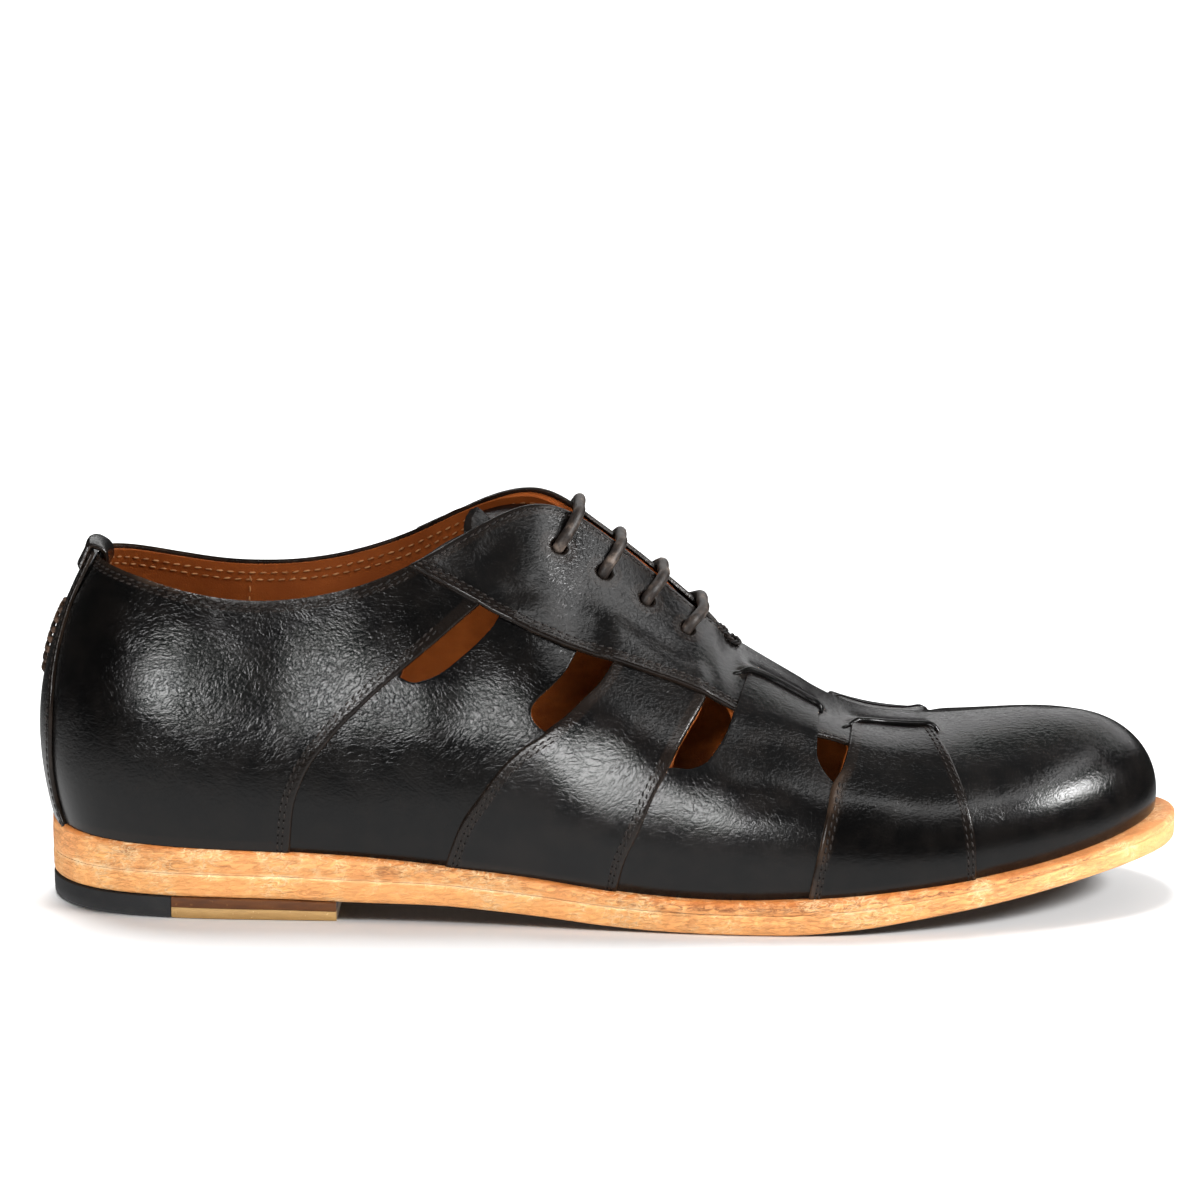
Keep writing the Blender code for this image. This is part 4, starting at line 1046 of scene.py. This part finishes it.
# round cord along a path, with domed ends; several cords may share one mesh
def cordForm(paths, radius, sides=14):
    points, polygons, taken = [], [], 0
    turn = np.linspace(0.0, 2.0 * math.pi, sides, endpoint=False)[:, None]
    for path in paths:
        run = np.gradient(path, axis=0)
        run /= np.linalg.norm(run, axis=1, keepdims=True)
        across = np.cross(run[0], (0.31, 0.17, 0.94))
        rings = []
        for index, way in enumerate(run):
            across = across - way * (across @ way)
            across /= np.linalg.norm(across)
            other = np.cross(way, across)
            size = radius * (cordEnd["size"] if index in (0, len(path) - 1) else 1.0)
            rings.append(path[index] + size * (np.cos(turn) * across + np.sin(turn) * other))
        count = len(rings)
        dome = radius * cordEnd["dome"]
        points += rings + [path[:1] - run[:1] * dome, path[-1:] + run[-1:] * dome]
        for ring in range(count - 1):
            for cell in range(sides):
                first, after = taken + ring * sides + cell, taken + ring * sides + (cell + 1) % sides
                polygons.append([first, after, after + sides, first + sides])
        poles = taken + count * sides
        for cell in range(sides):
            after = (cell + 1) % sides
            polygons.append([poles, taken + after, taken + cell])
            polygons.append([poles + 1, poles - sides + cell, poles - sides + after])
        taken += count * sides + 2
    return np.concatenate(points), polygons


# thick turned edges of the two slits
slitEdge = dict(radius=0.95, sink=0.40, hidden=1.3, inside=0.014)
edgePaths = []
for lip in slitLips:
    u, v = smoothLine(lip[:-1], 0.6).T
    share = np.linspace(0.0, 1.0, len(u))
    full = smoothStep(0.0, 0.12, share) * (1.0 - smoothStep(0.92, 1.0, share))
    lift = facingTop(u, v + slitEdge["inside"] * full) - slitEdge["hidden"]
    lift = lift + (slitEdge["hidden"] - slitEdge["sink"]) * full
    edgePaths += [raised(u, v, side, lift) for side in bothSides]
points, polygons = cordForm(edgePaths, slitEdge["radius"])
plain = np.ones(len(points))
edgePiece = plainMesh("slit_edges", points, polygons, toeSkin, dict(edge=5.0 * plain, rise=0.2 * plain))
dress(edgePiece, "overlay_leather")

# laces: each bar comes up through an eyelet, arches over the throat and goes down through the other
lacing = dict(radius=1.6, below=-3.0, crest=0.3, lean=3.2, points=60)
# rise over the eyelet, height over the last, share of the lean towards the toe
laceRows = np.array([(-0.010, lacing["below"], 0.0), (-0.004, -0.6, 0.0), (0.003, 1.6, 0.0),
                     (0.020, 3.0, 0.15), (0.050, 3.4, 0.5), (0.095, 3.5, 0.9)])
for number, (station, rise) in enumerate(eyelets, 1):
    ahead = topLine(station + 0.2, lateral) - topLine(station - 0.2, lateral)
    ahead[1] = 0.0
    ahead *= lacing["lean"] / np.linalg.norm(ahead)
    halves = [raised(np.full(len(laceRows), station), laceRows[:, 0] + rise, side, laceRows[:, 1])
              + laceRows[:, 2:] * ahead for side in bothSides]
    crest = (halves[0][-1] + halves[1][-1]) / 2.0 + 0.1 * ahead + (0.0, 0.0, lacing["crest"])
    path = smoothPath([*halves[0], crest, *halves[1][::-1]], lacing["points"])
    points, polygons = cordForm([path], lacing["radius"])
    dress(plainMesh(f"lace_bar_{number}", points, polygons, cordSkin), "lace_cord", f"lace_bar_{number}")

# pull loop: a strip folded over the collar at the back
pullStrip = dict(reach=0.58, thick=1.4, outside=2.95, inside=-2.85, stand=1.5, arch=1.0, roundness=0.65,
                 columns=41, rows=36, outRises=(0.925, 0.955, 0.985), inRises=(0.985, 0.955, 0.93))
pullFold = [(2.2, 0.75), (0.2, 1.0), (-1.8, 0.75)]         # mm out from the topline, share of the height
pullColumns = []
for share in np.linspace(-1.0, 1.0, pullStrip["columns"]):
    station, side = abs(share) * pullStrip["reach"], lateral if share < 0.0 else medial
    crest, lean = lastPoint(station, 1.0, side), lastNormal(station, 1.0, side)
    tall = pullStrip["stand"] + pullStrip["arch"] * (1.0 - share ** 2)
    knots = [raised(station, rise, side, pullStrip["outside"]) for rise in pullStrip["outRises"]]
    knots += [crest + out * lean + (0.0, 0.0, tall * up) for out, up in pullFold]
    knots += [raised(station, rise, side, pullStrip["inside"]) for rise in pullStrip["inRises"]]
    pullColumns.append(smoothPath(knots, pullStrip["rows"]))
pullGrid = np.array(pullColumns).transpose(1, 0, 2)
pullPiece = gridSolid("pull_loop", pullGrid, pullStrip["thick"], pullStrip["roundness"], calfSkin)
dress(pullPiece, "overlay_leather", "pull_loop")
print("tongue, laces and pull loop made")


# loft round the sole through rings from top to bottom, each an inset and a height
def soleLoft(name, stations, rings, material):
    whole = stations[0] <= 0.0, stations[-1] >= lastStation
    sideLoops = []
    for inset, height in rings:
        loops = []
        for side in bothSides:
            ring = seatLine(stations, side)
            ring = ring + (weltReach(stations) - inset)[:, None] * outwardAt(stations, side)
            ring[:, 2] = height
            loops.append(ring)
        sideLoops.append(loops)
    count = len(stations)
    points = np.concatenate([loop for loops in sideLoops for loop in loops])
    index = np.arange(len(points))
    for level in range(len(rings)):
        for end, closed in ((0, whole[0]), (count - 1, whole[1])):
            if closed:
                index[level * 2 * count + count + end] = level * 2 * count + end
    polygons = []

    def quad(*corners):
        corners = [int(index[corner]) for corner in corners]
        corners = [corner for place, corner in enumerate(corners) if corner != corners[place - 1]]
        if len(set(corners)) > 2:
            polygons.append(corners)

    for level in range(len(rings) - 1):
        upper, lower = level * 2 * count, (level + 1) * 2 * count
        for step in range(count - 1):
            quad(upper + step, lower + step, lower + step + 1, upper + step + 1)
            first, second = upper + count + step, lower + count + step
            quad(first + 1, second + 1, second, first)
        if not whole[0]:
            quad(upper + count, lower + count, lower, upper)
        if not whole[1]:
            quad(upper + count - 1, lower + count - 1, lower + 2 * count - 1, upper + 2 * count - 1)
    for level, flip in ((0, False), (len(rings) - 1, True)):
        base = level * 2 * count
        for step in range(count - 1):
            corners = [base + step, base + step + 1, base + count + step + 1, base + count + step]
            quad(*(corners[::-1] if flip else corners))
    heights = points[:, 2].reshape(len(rings), 2 * count)
    tall = (heights - heights[-1]) / np.maximum(heights[0] - heights[-1], 1e-6)
    tall[-1] = -1.0                                        # the face below
    return plainMesh(name, points, polygons, material, dict(tall=tall.ravel()), sharp=40.0)


# sole: outsole, midsole with its welt, insole, and the low heel's layers
soleCut = dict(line=0.28, insoleInset=2.7, insoleThick=2.4, liftShare=0.5, heelSplit=2.86, heelFront=4.74,
               gap=0.05)
soleStations = np.concatenate([np.linspace(0.0, 0.6, 40), np.linspace(0.62, 17.6, 200),
                               np.linspace(17.65, lastStation, 60)])
seat, tread = seatZ(soleStations), treadZ(soleStations)
line = tread + outsoleThick(soleStations)
wobble = 0.10 * np.sin(soleStations * 9.1) + 0.07 * np.sin(soleStations * 23.7 + 1.3)   # hand-trimmed edge
outsoleRings = [(1.2, line + 0.12), (soleCut["line"], line + 0.10), (0.06, line - 0.35),
                (wobble * 0.5, line - 1.4), (0.1 + wobble * 0.5, tread + 1.6), (0.30, tread + 0.75),
                (0.75, tread + 0.22), (1.5, tread)]
midsoleRings = [(3.2, seat - 0.30), (1.0, seat - 0.32), (0.42, seat - 0.52),
                (0.12 + wobble * 0.4, seat - 1.0), (wobble * 0.6, (seat + line) / 2.0), (0.08, line + 0.75),
                (soleCut["line"], line + 0.24), (1.2, line + 0.2)]
dress(soleLoft("outsole", soleStations, outsoleRings, outsoleHide), "sole_leather", "outsole")
dress(soleLoft("midsole", soleStations, midsoleRings, midsoleHide), "midsole_leather", "midsole")
reach = weltReach(soleStations) + soleCut["insoleInset"]
top = seat + soleCut["insoleThick"]
insoleRings = [(reach + 0.8, top), (reach + 0.2, top - 0.25), (reach, top - 0.8), (reach, seat)]
dress(soleLoft("insole", soleStations, insoleRings, liningSkin), "lining_leather", "insole")

rubberStations = np.concatenate([np.linspace(0.0, 0.6, 30), np.linspace(0.63, soleCut["heelSplit"], 50)])
top = treadZ(rubberStations) - soleCut["gap"]
ground = np.zeros_like(top)
rubberRings = [(0.5, top), (0.12, top - 0.25), (0.1, top * 0.5), (0.22, ground + 0.7), (0.6, ground + 0.15),
               (1.2, ground)]
dress(soleLoft("heel_rubber", rubberStations, rubberRings, rubberSkin), "heel_rubber", "heel_rubber")
liftStations = np.linspace(soleCut["heelSplit"] + 0.008, soleCut["heelFront"], 50)
top = treadZ(liftStations) - soleCut["gap"]
ground = np.zeros_like(top)
seam = soleCut["liftShare"] * top
liftRings = [(0.5, top), (0.12, top - 0.2), (0.1, seam + 0.35), (0.25, seam + 0.12)]
topPieceRings = [(0.3, seam + 0.06), (0.12, seam - 0.2), (0.18, ground + 0.6), (0.4, ground + 0.12),
                 (0.8, ground)]
dress(soleLoft("heel_lift", liftStations, liftRings, liftHide), "lift_leather", "heel_lift")
dress(soleLoft("heel_top_piece", liftStations, topPieceRings, topPieceHide), "top_piece_leather",
      "heel_top_piece")
print("sole made")


stitchSeed = 7


# stitches: a Geometry Nodes tree that lays a thread on points along rows
def stitchTree():
    tree = bpy.data.node_groups.new("stitchRow", "GeometryNodeTree")
    face = tree.interface
    face.new_socket("Rows", in_out="INPUT", socket_type="NodeSocketGeometry")
    for name, value in (("Pitch", 0.0022), ("Start", 0.0), ("Length", 0.0019), ("Width", 0.0006),
                        ("Height", 0.0005), ("Slant", 0.2), ("Wobble", 0.08)):
        face.new_socket(name, in_out="INPUT", socket_type="NodeSocketFloat").default_value = value
    face.new_socket("Thread", in_out="INPUT", socket_type="NodeSocketMaterial")
    face.new_socket("Stitches", in_out="OUTPUT", socket_type="NodeSocketGeometry")
    add, link = tree.nodes.new, tree.links.new
    given, made = add("NodeGroupInput"), add("NodeGroupOutput")
    curve, trim = add("GeometryNodeMeshToCurve"), add("GeometryNodeTrimCurve")
    points = add("GeometryNodeResampleCurve")
    trim.mode, points.mode = "LENGTH", "LENGTH"
    link(given.outputs["Rows"], curve.inputs["Mesh"])
    link(curve.outputs["Curve"], trim.inputs["Curve"])
    lengths = [socket for socket in trim.inputs if socket.name in ("Start", "End") and socket.type == "VALUE"]
    link(given.outputs["Start"], lengths[-2])
    lengths[-1].default_value = 10.0
    link(trim.outputs["Curve"], points.inputs["Curve"])
    link(given.outputs["Pitch"], points.inputs["Length"])
    ball = add("GeometryNodeMeshUVSphere")
    ball.inputs["Segments"].default_value, ball.inputs["Rings"].default_value = 6, 4
    ball.inputs["Radius"].default_value = 0.5
    lay, tangent = add("GeometryNodeInputNamedAttribute"), add("GeometryNodeInputTangent")
    lay.data_type = "FLOAT_VECTOR"
    lay.inputs["Name"].default_value = "lay"
    turn = add("FunctionNodeAxesToRotation")
    turn.primary_axis, turn.secondary_axis = "Z", "X"
    link(lay.outputs["Attribute"], turn.inputs["Primary Axis"])
    link(tangent.outputs["Tangent"], turn.inputs["Secondary Axis"])
    chance, swing = add("FunctionNodeRandomValue"), add("ShaderNodeMath")
    chance.data_type = "FLOAT"
    for socket in chance.inputs:
        if socket.name in ("Min", "Max") and socket.type == "VALUE":
            socket.default_value = -1.0 if socket.name == "Min" else 1.0
        if socket.name == "Seed":
            socket.default_value = stitchSeed
    swing.operation = "MULTIPLY_ADD"
    link([socket for socket in chance.outputs if socket.type == "VALUE"][0], swing.inputs[0])
    link(given.outputs["Wobble"], swing.inputs[1])
    link(given.outputs["Slant"], swing.inputs[2])
    slant, rotate = add("FunctionNodeAxisAngleToRotation"), add("FunctionNodeRotateRotation")
    slant.inputs["Axis"].default_value = (0.0, 0.0, 1.0)
    link(swing.outputs[0], slant.inputs["Angle"])
    rotate.rotation_space = "LOCAL"
    link(turn.outputs["Rotation"], rotate.inputs["Rotation"])
    link(slant.outputs["Rotation"], rotate.inputs["Rotate By"])
    size = add("ShaderNodeCombineXYZ")
    for axis, name in zip("XYZ", ("Length", "Width", "Height")):
        link(given.outputs[name], size.inputs[axis])
    spread = add("GeometryNodeInstanceOnPoints")
    link(points.outputs["Curve"], spread.inputs["Points"])
    link(ball.outputs["Mesh"], spread.inputs["Instance"])
    link(rotate.outputs["Rotation"], spread.inputs["Rotation"])
    link(size.outputs["Vector"], spread.inputs["Scale"])
    real, smooth = add("GeometryNodeRealizeInstances"), add("GeometryNodeSetShadeSmooth")
    paint = add("GeometryNodeSetMaterial")
    link(spread.outputs["Instances"], real.inputs["Geometry"])
    link(real.outputs["Geometry"], smooth.inputs["Geometry"])
    link(smooth.outputs["Geometry"], paint.inputs["Geometry"])
    link(given.outputs["Thread"], paint.inputs["Material"])
    link(paint.outputs["Geometry"], made.inputs["Stitches"])
    return tree


stitching = stitchTree()
stitchKeys = {item.name: item.identifier for item in stitching.interface.items_tree if item.in_out == "INPUT"}


def sew(name, rows, slot, **sizes):
    data = bpy.data.meshes.new(name + "_rows")
    points = np.concatenate([row[0] for row in rows])
    edges, first = [], 0
    for row in rows:
        edges += [(first + index, first + index + 1) for index in range(len(row[0]) - 1)]
        first += len(row[0])
    data.from_pydata(toFrame(points).tolist(), edges, [])
    lays = np.concatenate([row[1] for row in rows]).astype(np.float32)
    data.attributes.new("lay", "FLOAT_VECTOR", "POINT").data.foreach_set("vector", lays.ravel())
    guide = bpy.data.objects.new(name + "_rows", data)
    bpy.context.scene.collection.objects.link(guide)
    maker = guide.modifiers.new("stitches", "NODES")
    maker.node_group = stitching
    for key, value in sizes.items():
        maker[stitchKeys[key]] = value
    ready = guide.evaluated_get(bpy.context.evaluated_depsgraph_get())
    threads = bpy.data.meshes.new_from_object(ready)
    guide.modifiers.remove(maker)
    bpy.data.objects.remove(guide)
    threads.name = name
    piece = bpy.data.objects.new(name, threads)
    bpy.context.scene.collection.objects.link(piece)
    return dress(piece, slot)


topMargin, insideFrom = 0.988, -1.5        # stitches stop below this rise; lower than this they face inwards


def sewnRow(places, heightAt, inset=0.0, sink=0.05):
    line = insetLine(places, inset, 0.8)
    station, rise = line[line[:, 1] < topMargin].T
    height = heightAt(station, rise) - sink
    sign = 1.0 if np.mean(height) > insideFrom else -1.0
    return [(raised(station, rise, side, height), lastNormal(station, rise, side) * sign)
            for side in bothSides]


def upTo(places, high):
    return [place for place in places if place[1] <= high]


outerStitch = dict(Pitch=0.00225, Length=0.00185, Width=0.00062, Height=0.00058, Slant=0.22, Wobble=0.10)
# sizes of the dark blobs that paint the shade in the needle holes
needleHoleShadeSizes = dict(Pitch=0.00225, Start=0.00112, Length=0.00072, Width=0.00066, Height=0.00030, Slant=0.0,
                   Wobble=0.0)
liningStitch = dict(Pitch=0.0030, Length=0.0021, Width=0.00060, Height=0.0005, Slant=0.10, Wobble=0.12)
collarTop = [(0.75, 1.0), (2.0, 1.0), (3.0, 1.0), (4.0, 1.0), (5.0, 1.0), (5.9, 1.0)]
throatTop = [(6.3, 1.0), (7.0, 1.0), (8.0, 1.0), (9.0, 1.0), (10.0, 1.0), (11.0, 1.0), (11.7, 1.0)]
liningEdge = [(0.6, 0.99), (2.0, 0.99), (4.0, 0.99), (6.0, 0.992), (8.0, 0.992), (10.0, 0.992), (11.6, 0.992)]
liningJoin = [(3.55, 0.93), (3.5, 0.7), (3.45, 0.5), (3.4, 0.25)]
# a line, how far each row of stitches lies from it in mm, and the surface it is sewn on
outerSeams = [
    (quarterFront[:-2], (1.9, 3.0), overlayTop), (collarTop, (-1.5, -2.7), overlayTop),
    (eyestayLow[:12], (1.8, 3.0), facingTop),
    ([(12.92, 0.611), (13.2, 0.62), (13.45, 0.617)], (1.3,), facingTop), (throatTop, (-1.5,), facingTop),
    (upTo(strapMidRear, 0.40), (-1.7, -2.8), overlayTop), (upTo(strapMidFront, 0.40), (1.7, 2.8), overlayTop),
    (upTo(strapFrontRear, 0.46), (-1.7, -2.8), strapFrontTop),
    (upTo(strapFrontFront, 0.80), (1.2, 2.5), strapFrontTop), (backstayEdge, (1.4,), backstayTop),
]
liningIn = flatAt(liningCut["inner"] - 0.1)
liningSeams = [(liningEdge, (-2.2, -4.2), liningIn), (liningJoin, (0.0,), liningIn)]
outerRows, liningRows = ([row for places, insets, heightAt in seams for inset in insets
                          for row in sewnRow(places, heightAt, inset)] for seams in (outerSeams, liningSeams))
sew("stitches_outside", outerRows, "lace_cord", Thread=darkThread, **outerStitch)
# dark matte blobs at the needle holes: painted shade
sew("needle_hole_shade", outerRows, "lace_cord", Thread=paintedHoleShade, **needleHoleShadeSizes)
sew("stitches_lining", liningRows, "lining_leather", Thread=tanThread, **liningStitch)
print("stitches sewn", len(outerRows) + len(liningRows), "rows")

# bar tack that closes the throat: two twisted links, one through the other
barTack = dict(strand=0.36, twist=4.0, round=0.34, height=1.2)
tackLinks = [(11.70, 0.995, 1.7, 1.1), (12.0, 0.975, 1.9, 1.5)]       # station, rise, half length, half width
turn = np.linspace(0.0, 2.0 * math.pi, 70)[:, None]
tackPaths = []
for station, rise, long, wide in tackLinks:
    centre, upward = lastPoint(station, rise, lateral), lastNormal(station, rise, lateral)
    ahead = lastPoint(station + 0.1, rise, lateral) - lastPoint(station - 0.1, rise, lateral)
    ahead -= upward * (ahead @ upward)
    ahead /= np.linalg.norm(ahead)
    across = np.cross(upward, ahead)
    ring = np.cos(turn) * ahead * long + np.sin(turn) * across * wide
    away = ring / np.linalg.norm(ring, axis=1, keepdims=True)
    for phase in (0.0, math.pi):
        spin = turn * barTack["twist"] + phase
        tackPaths.append(centre + barTack["height"] * upward + ring
                         + barTack["round"] * (np.cos(spin) * away + np.sin(spin) * upward))
points, polygons = cordForm(tackPaths, barTack["strand"], 8)
dress(plainMesh("bar_tack", points, polygons, darkThread), "lace_cord")

# thick hand-sewn stitches across the back seam, longest in the middle, every other one slanted the other way
backSeam = dict(low=0.50, high=0.775, count=15, half=0.17, strand=0.62, height=2.35, bulge=0.75, slant=0.022)
seamPaths = []
for number, share in enumerate(np.linspace(-1.0, 1.0, backSeam["count"])):
    rise = (backSeam["low"] + backSeam["high"]) / 2.0 + share * (backSeam["high"] - backSeam["low"]) / 2.0
    full = math.sqrt(1.06 - share ** 2)
    slant = backSeam["slant"] * (1.0 if number % 2 else -0.6)
    knots = []
    for across in np.linspace(-1.0, 1.0, 7):
        station = abs(across) * backSeam["half"] * (0.35 + 0.65 * full)
        side = lateral if across < 0.0 else medial
        lift = backSeam["height"] + backSeam["bulge"] * full * (1.0 - across ** 2) - 0.6 * across ** 6
        knots.append(raised(station, rise + slant * across, side, lift))
    seamPaths.append(smoothPath(knots, 16))
points, polygons = cordForm(seamPaths, backSeam["strand"], 8)
dress(plainMesh("back_seam", points, polygons, brownThread), "lace_cord")

# floor, lights and camera
studio = dict(floor=30.0, white=(0.87, 0.87, 0.87), glowFrom=0.1, glowTo=0.9, glow=(0.32, 0.32, 0.32),
              aim=0.05, wash=4.1, washUp=65.0, washAround=-165.0, washSpread=30.0)
# reflected tones of the room by direction, from -1 (down) to 1 (up)
room = dict(dim=0.035, below=1.15, belowFrom=-0.14, belowTo=-0.36, ceiling=0.22, ceilingFrom=0.55,
            ceilingTo=0.80)
bpy.ops.mesh.primitive_plane_add(size=studio["floor"], location=(0.0, 0.0, 0.0))
floor = bpy.context.object
floor.name = "floor"
paper = Finish("paleFloor", Roughness=0.9, Specular_IOR_Level=0.1, Emission_Strength=1.0)
depth = paper.node("ShaderNodeSeparateXYZ", links={"Vector": paper.place()}, out="Y")
glow = paper.mix(depth.between(studio["glowFrom"], studio["glowTo"]), (0.0, 0.0, 0.0), studio["glow"])
floor.data.materials.append(paper.feed(Base_Color=studio["white"], Emission_Color=glow))
floor.visible_glossy = False         # the room's own tones show in the leather instead


def addLamp(name, kind, around, up, away):
    lamp = bpy.data.objects.new(name, bpy.data.lights.new(name, kind))
    around, up = math.radians(around), math.radians(up)
    flat = away * math.cos(up)
    lamp.location = (flat * math.sin(around), -flat * math.cos(around), studio["aim"] + away * math.sin(up))
    lamp.rotation_euler = (math.pi / 2.0 - up, 0.0, around)
    lamp.visible_camera = False
    bpy.context.scene.collection.objects.link(lamp)
    return lamp


def group(name, pieces):
    made = bpy.data.collections.new(name)
    for piece in pieces:
        made.objects.link(piece)
    return made


# name, degrees round from the camera to the toe, degrees up, distance, width, height, watts, what it lights
softBoxes = [
    ("left", -25.0, 13.5, 1.6, 0.70, 0.50, 5.6, "shoe"),
    ("leftCore", -24.0, 13.0, 1.58, 0.36, 0.30, 7.4, "shoe"),
    ("right", 72.0, 30.0, 1.3, 0.50, 0.34, 11.0, "all"),
    ("rightCore", 73.0, 31.0, 1.28, 0.30, 0.18, 7.0, "all"),
    ("back", 166.0, 30.0, 1.8, 2.4, 0.8, 11.0, "all"),
    ("above", 52.0, 51.0, 1.5, 1.1, 0.26, 4.2, "shoe"),
    ("strapLight", -9.0, 9.5, 1.6, 0.42, 0.40, 14.0, ("strap_mid_lateral", "upper_strip")),
    ("eyestayLight", 95.0, 51.0, 1.5, 0.6, 0.3, 2.4, ("facing",)),
    ("soleLight", -10.0, 25.0, 1.6, 1.2, 0.8, 12.8, ("outsole", "midsole", "heel_lift", "heel_top_piece")),
    ("liningLight", -35.0, 52.0, 0.5, 0.12, 0.12, 2.0, ("upper_lining", "insole")),
]
shoeOnly = group("shoeOnly", [floor])
shoeOnly.collection_objects[0].light_linking.link_state = "EXCLUDE"
for name, around, up, away, width, tall, watts, lit in softBoxes:
    lamp = addLamp(name, "AREA", around, up, away)
    box = lamp.data
    box.shape, box.size, box.size_y, box.energy = "RECTANGLE", width, tall, watts
    if lit == "shoe":
        lamp.light_linking.receiver_collection = shoeOnly
    elif lit != "all":
        lamp.light_linking.receiver_collection = group(name, [built[piece] for piece in lit])
wash = addLamp("wash", "SUN", studio["washAround"], studio["washUp"], 2.0)      # lights the floor alone
wash.data.energy, wash.data.angle = studio["wash"], math.radians(studio["washSpread"])
wash.light_linking.receiver_collection = group("washed", [floor])

sky = bpy.data.worlds.new("studio")
sky.use_nodes = True
air, background = sky.node_tree, sky.node_tree.nodes["Background"]
way, split = air.nodes.new("ShaderNodeTexCoord"), air.nodes.new("ShaderNodeSeparateXYZ")
air.links.new(way.outputs["Generated"], split.inputs["Vector"])
up = Wire(air, split.outputs["Z"])
shine = (room["dim"] + room["below"] * (1.0 - up.between(room["belowTo"], room["belowFrom"]))
         + room["ceiling"] * up.between(room["ceilingFrom"], room["ceilingTo"]))
plug(air, background.inputs["Color"], (1.0, 1.0, 1.0))
plug(air, background.inputs["Strength"], shine)
bpy.context.scene.world = sky
bpy.context.scene.view_settings.view_transform = "Standard"

photoView = dict(sensor=36.0, lens=122.5, reach=60.0, spot=(-0.0030, -1.0805, 0.2857), down=10.8)
view = bpy.data.cameras.new("photoView")
view.sensor_width, view.lens, view.clip_end = photoView["sensor"], photoView["lens"], photoView["reach"]
camera = bpy.data.objects.new("photoView", view)
camera.location = photoView["spot"]
camera.rotation_euler = (math.radians(90.0 - photoView["down"]), 0.0, 0.0)
bpy.context.scene.collection.objects.link(camera)
bpy.context.scene.camera = camera
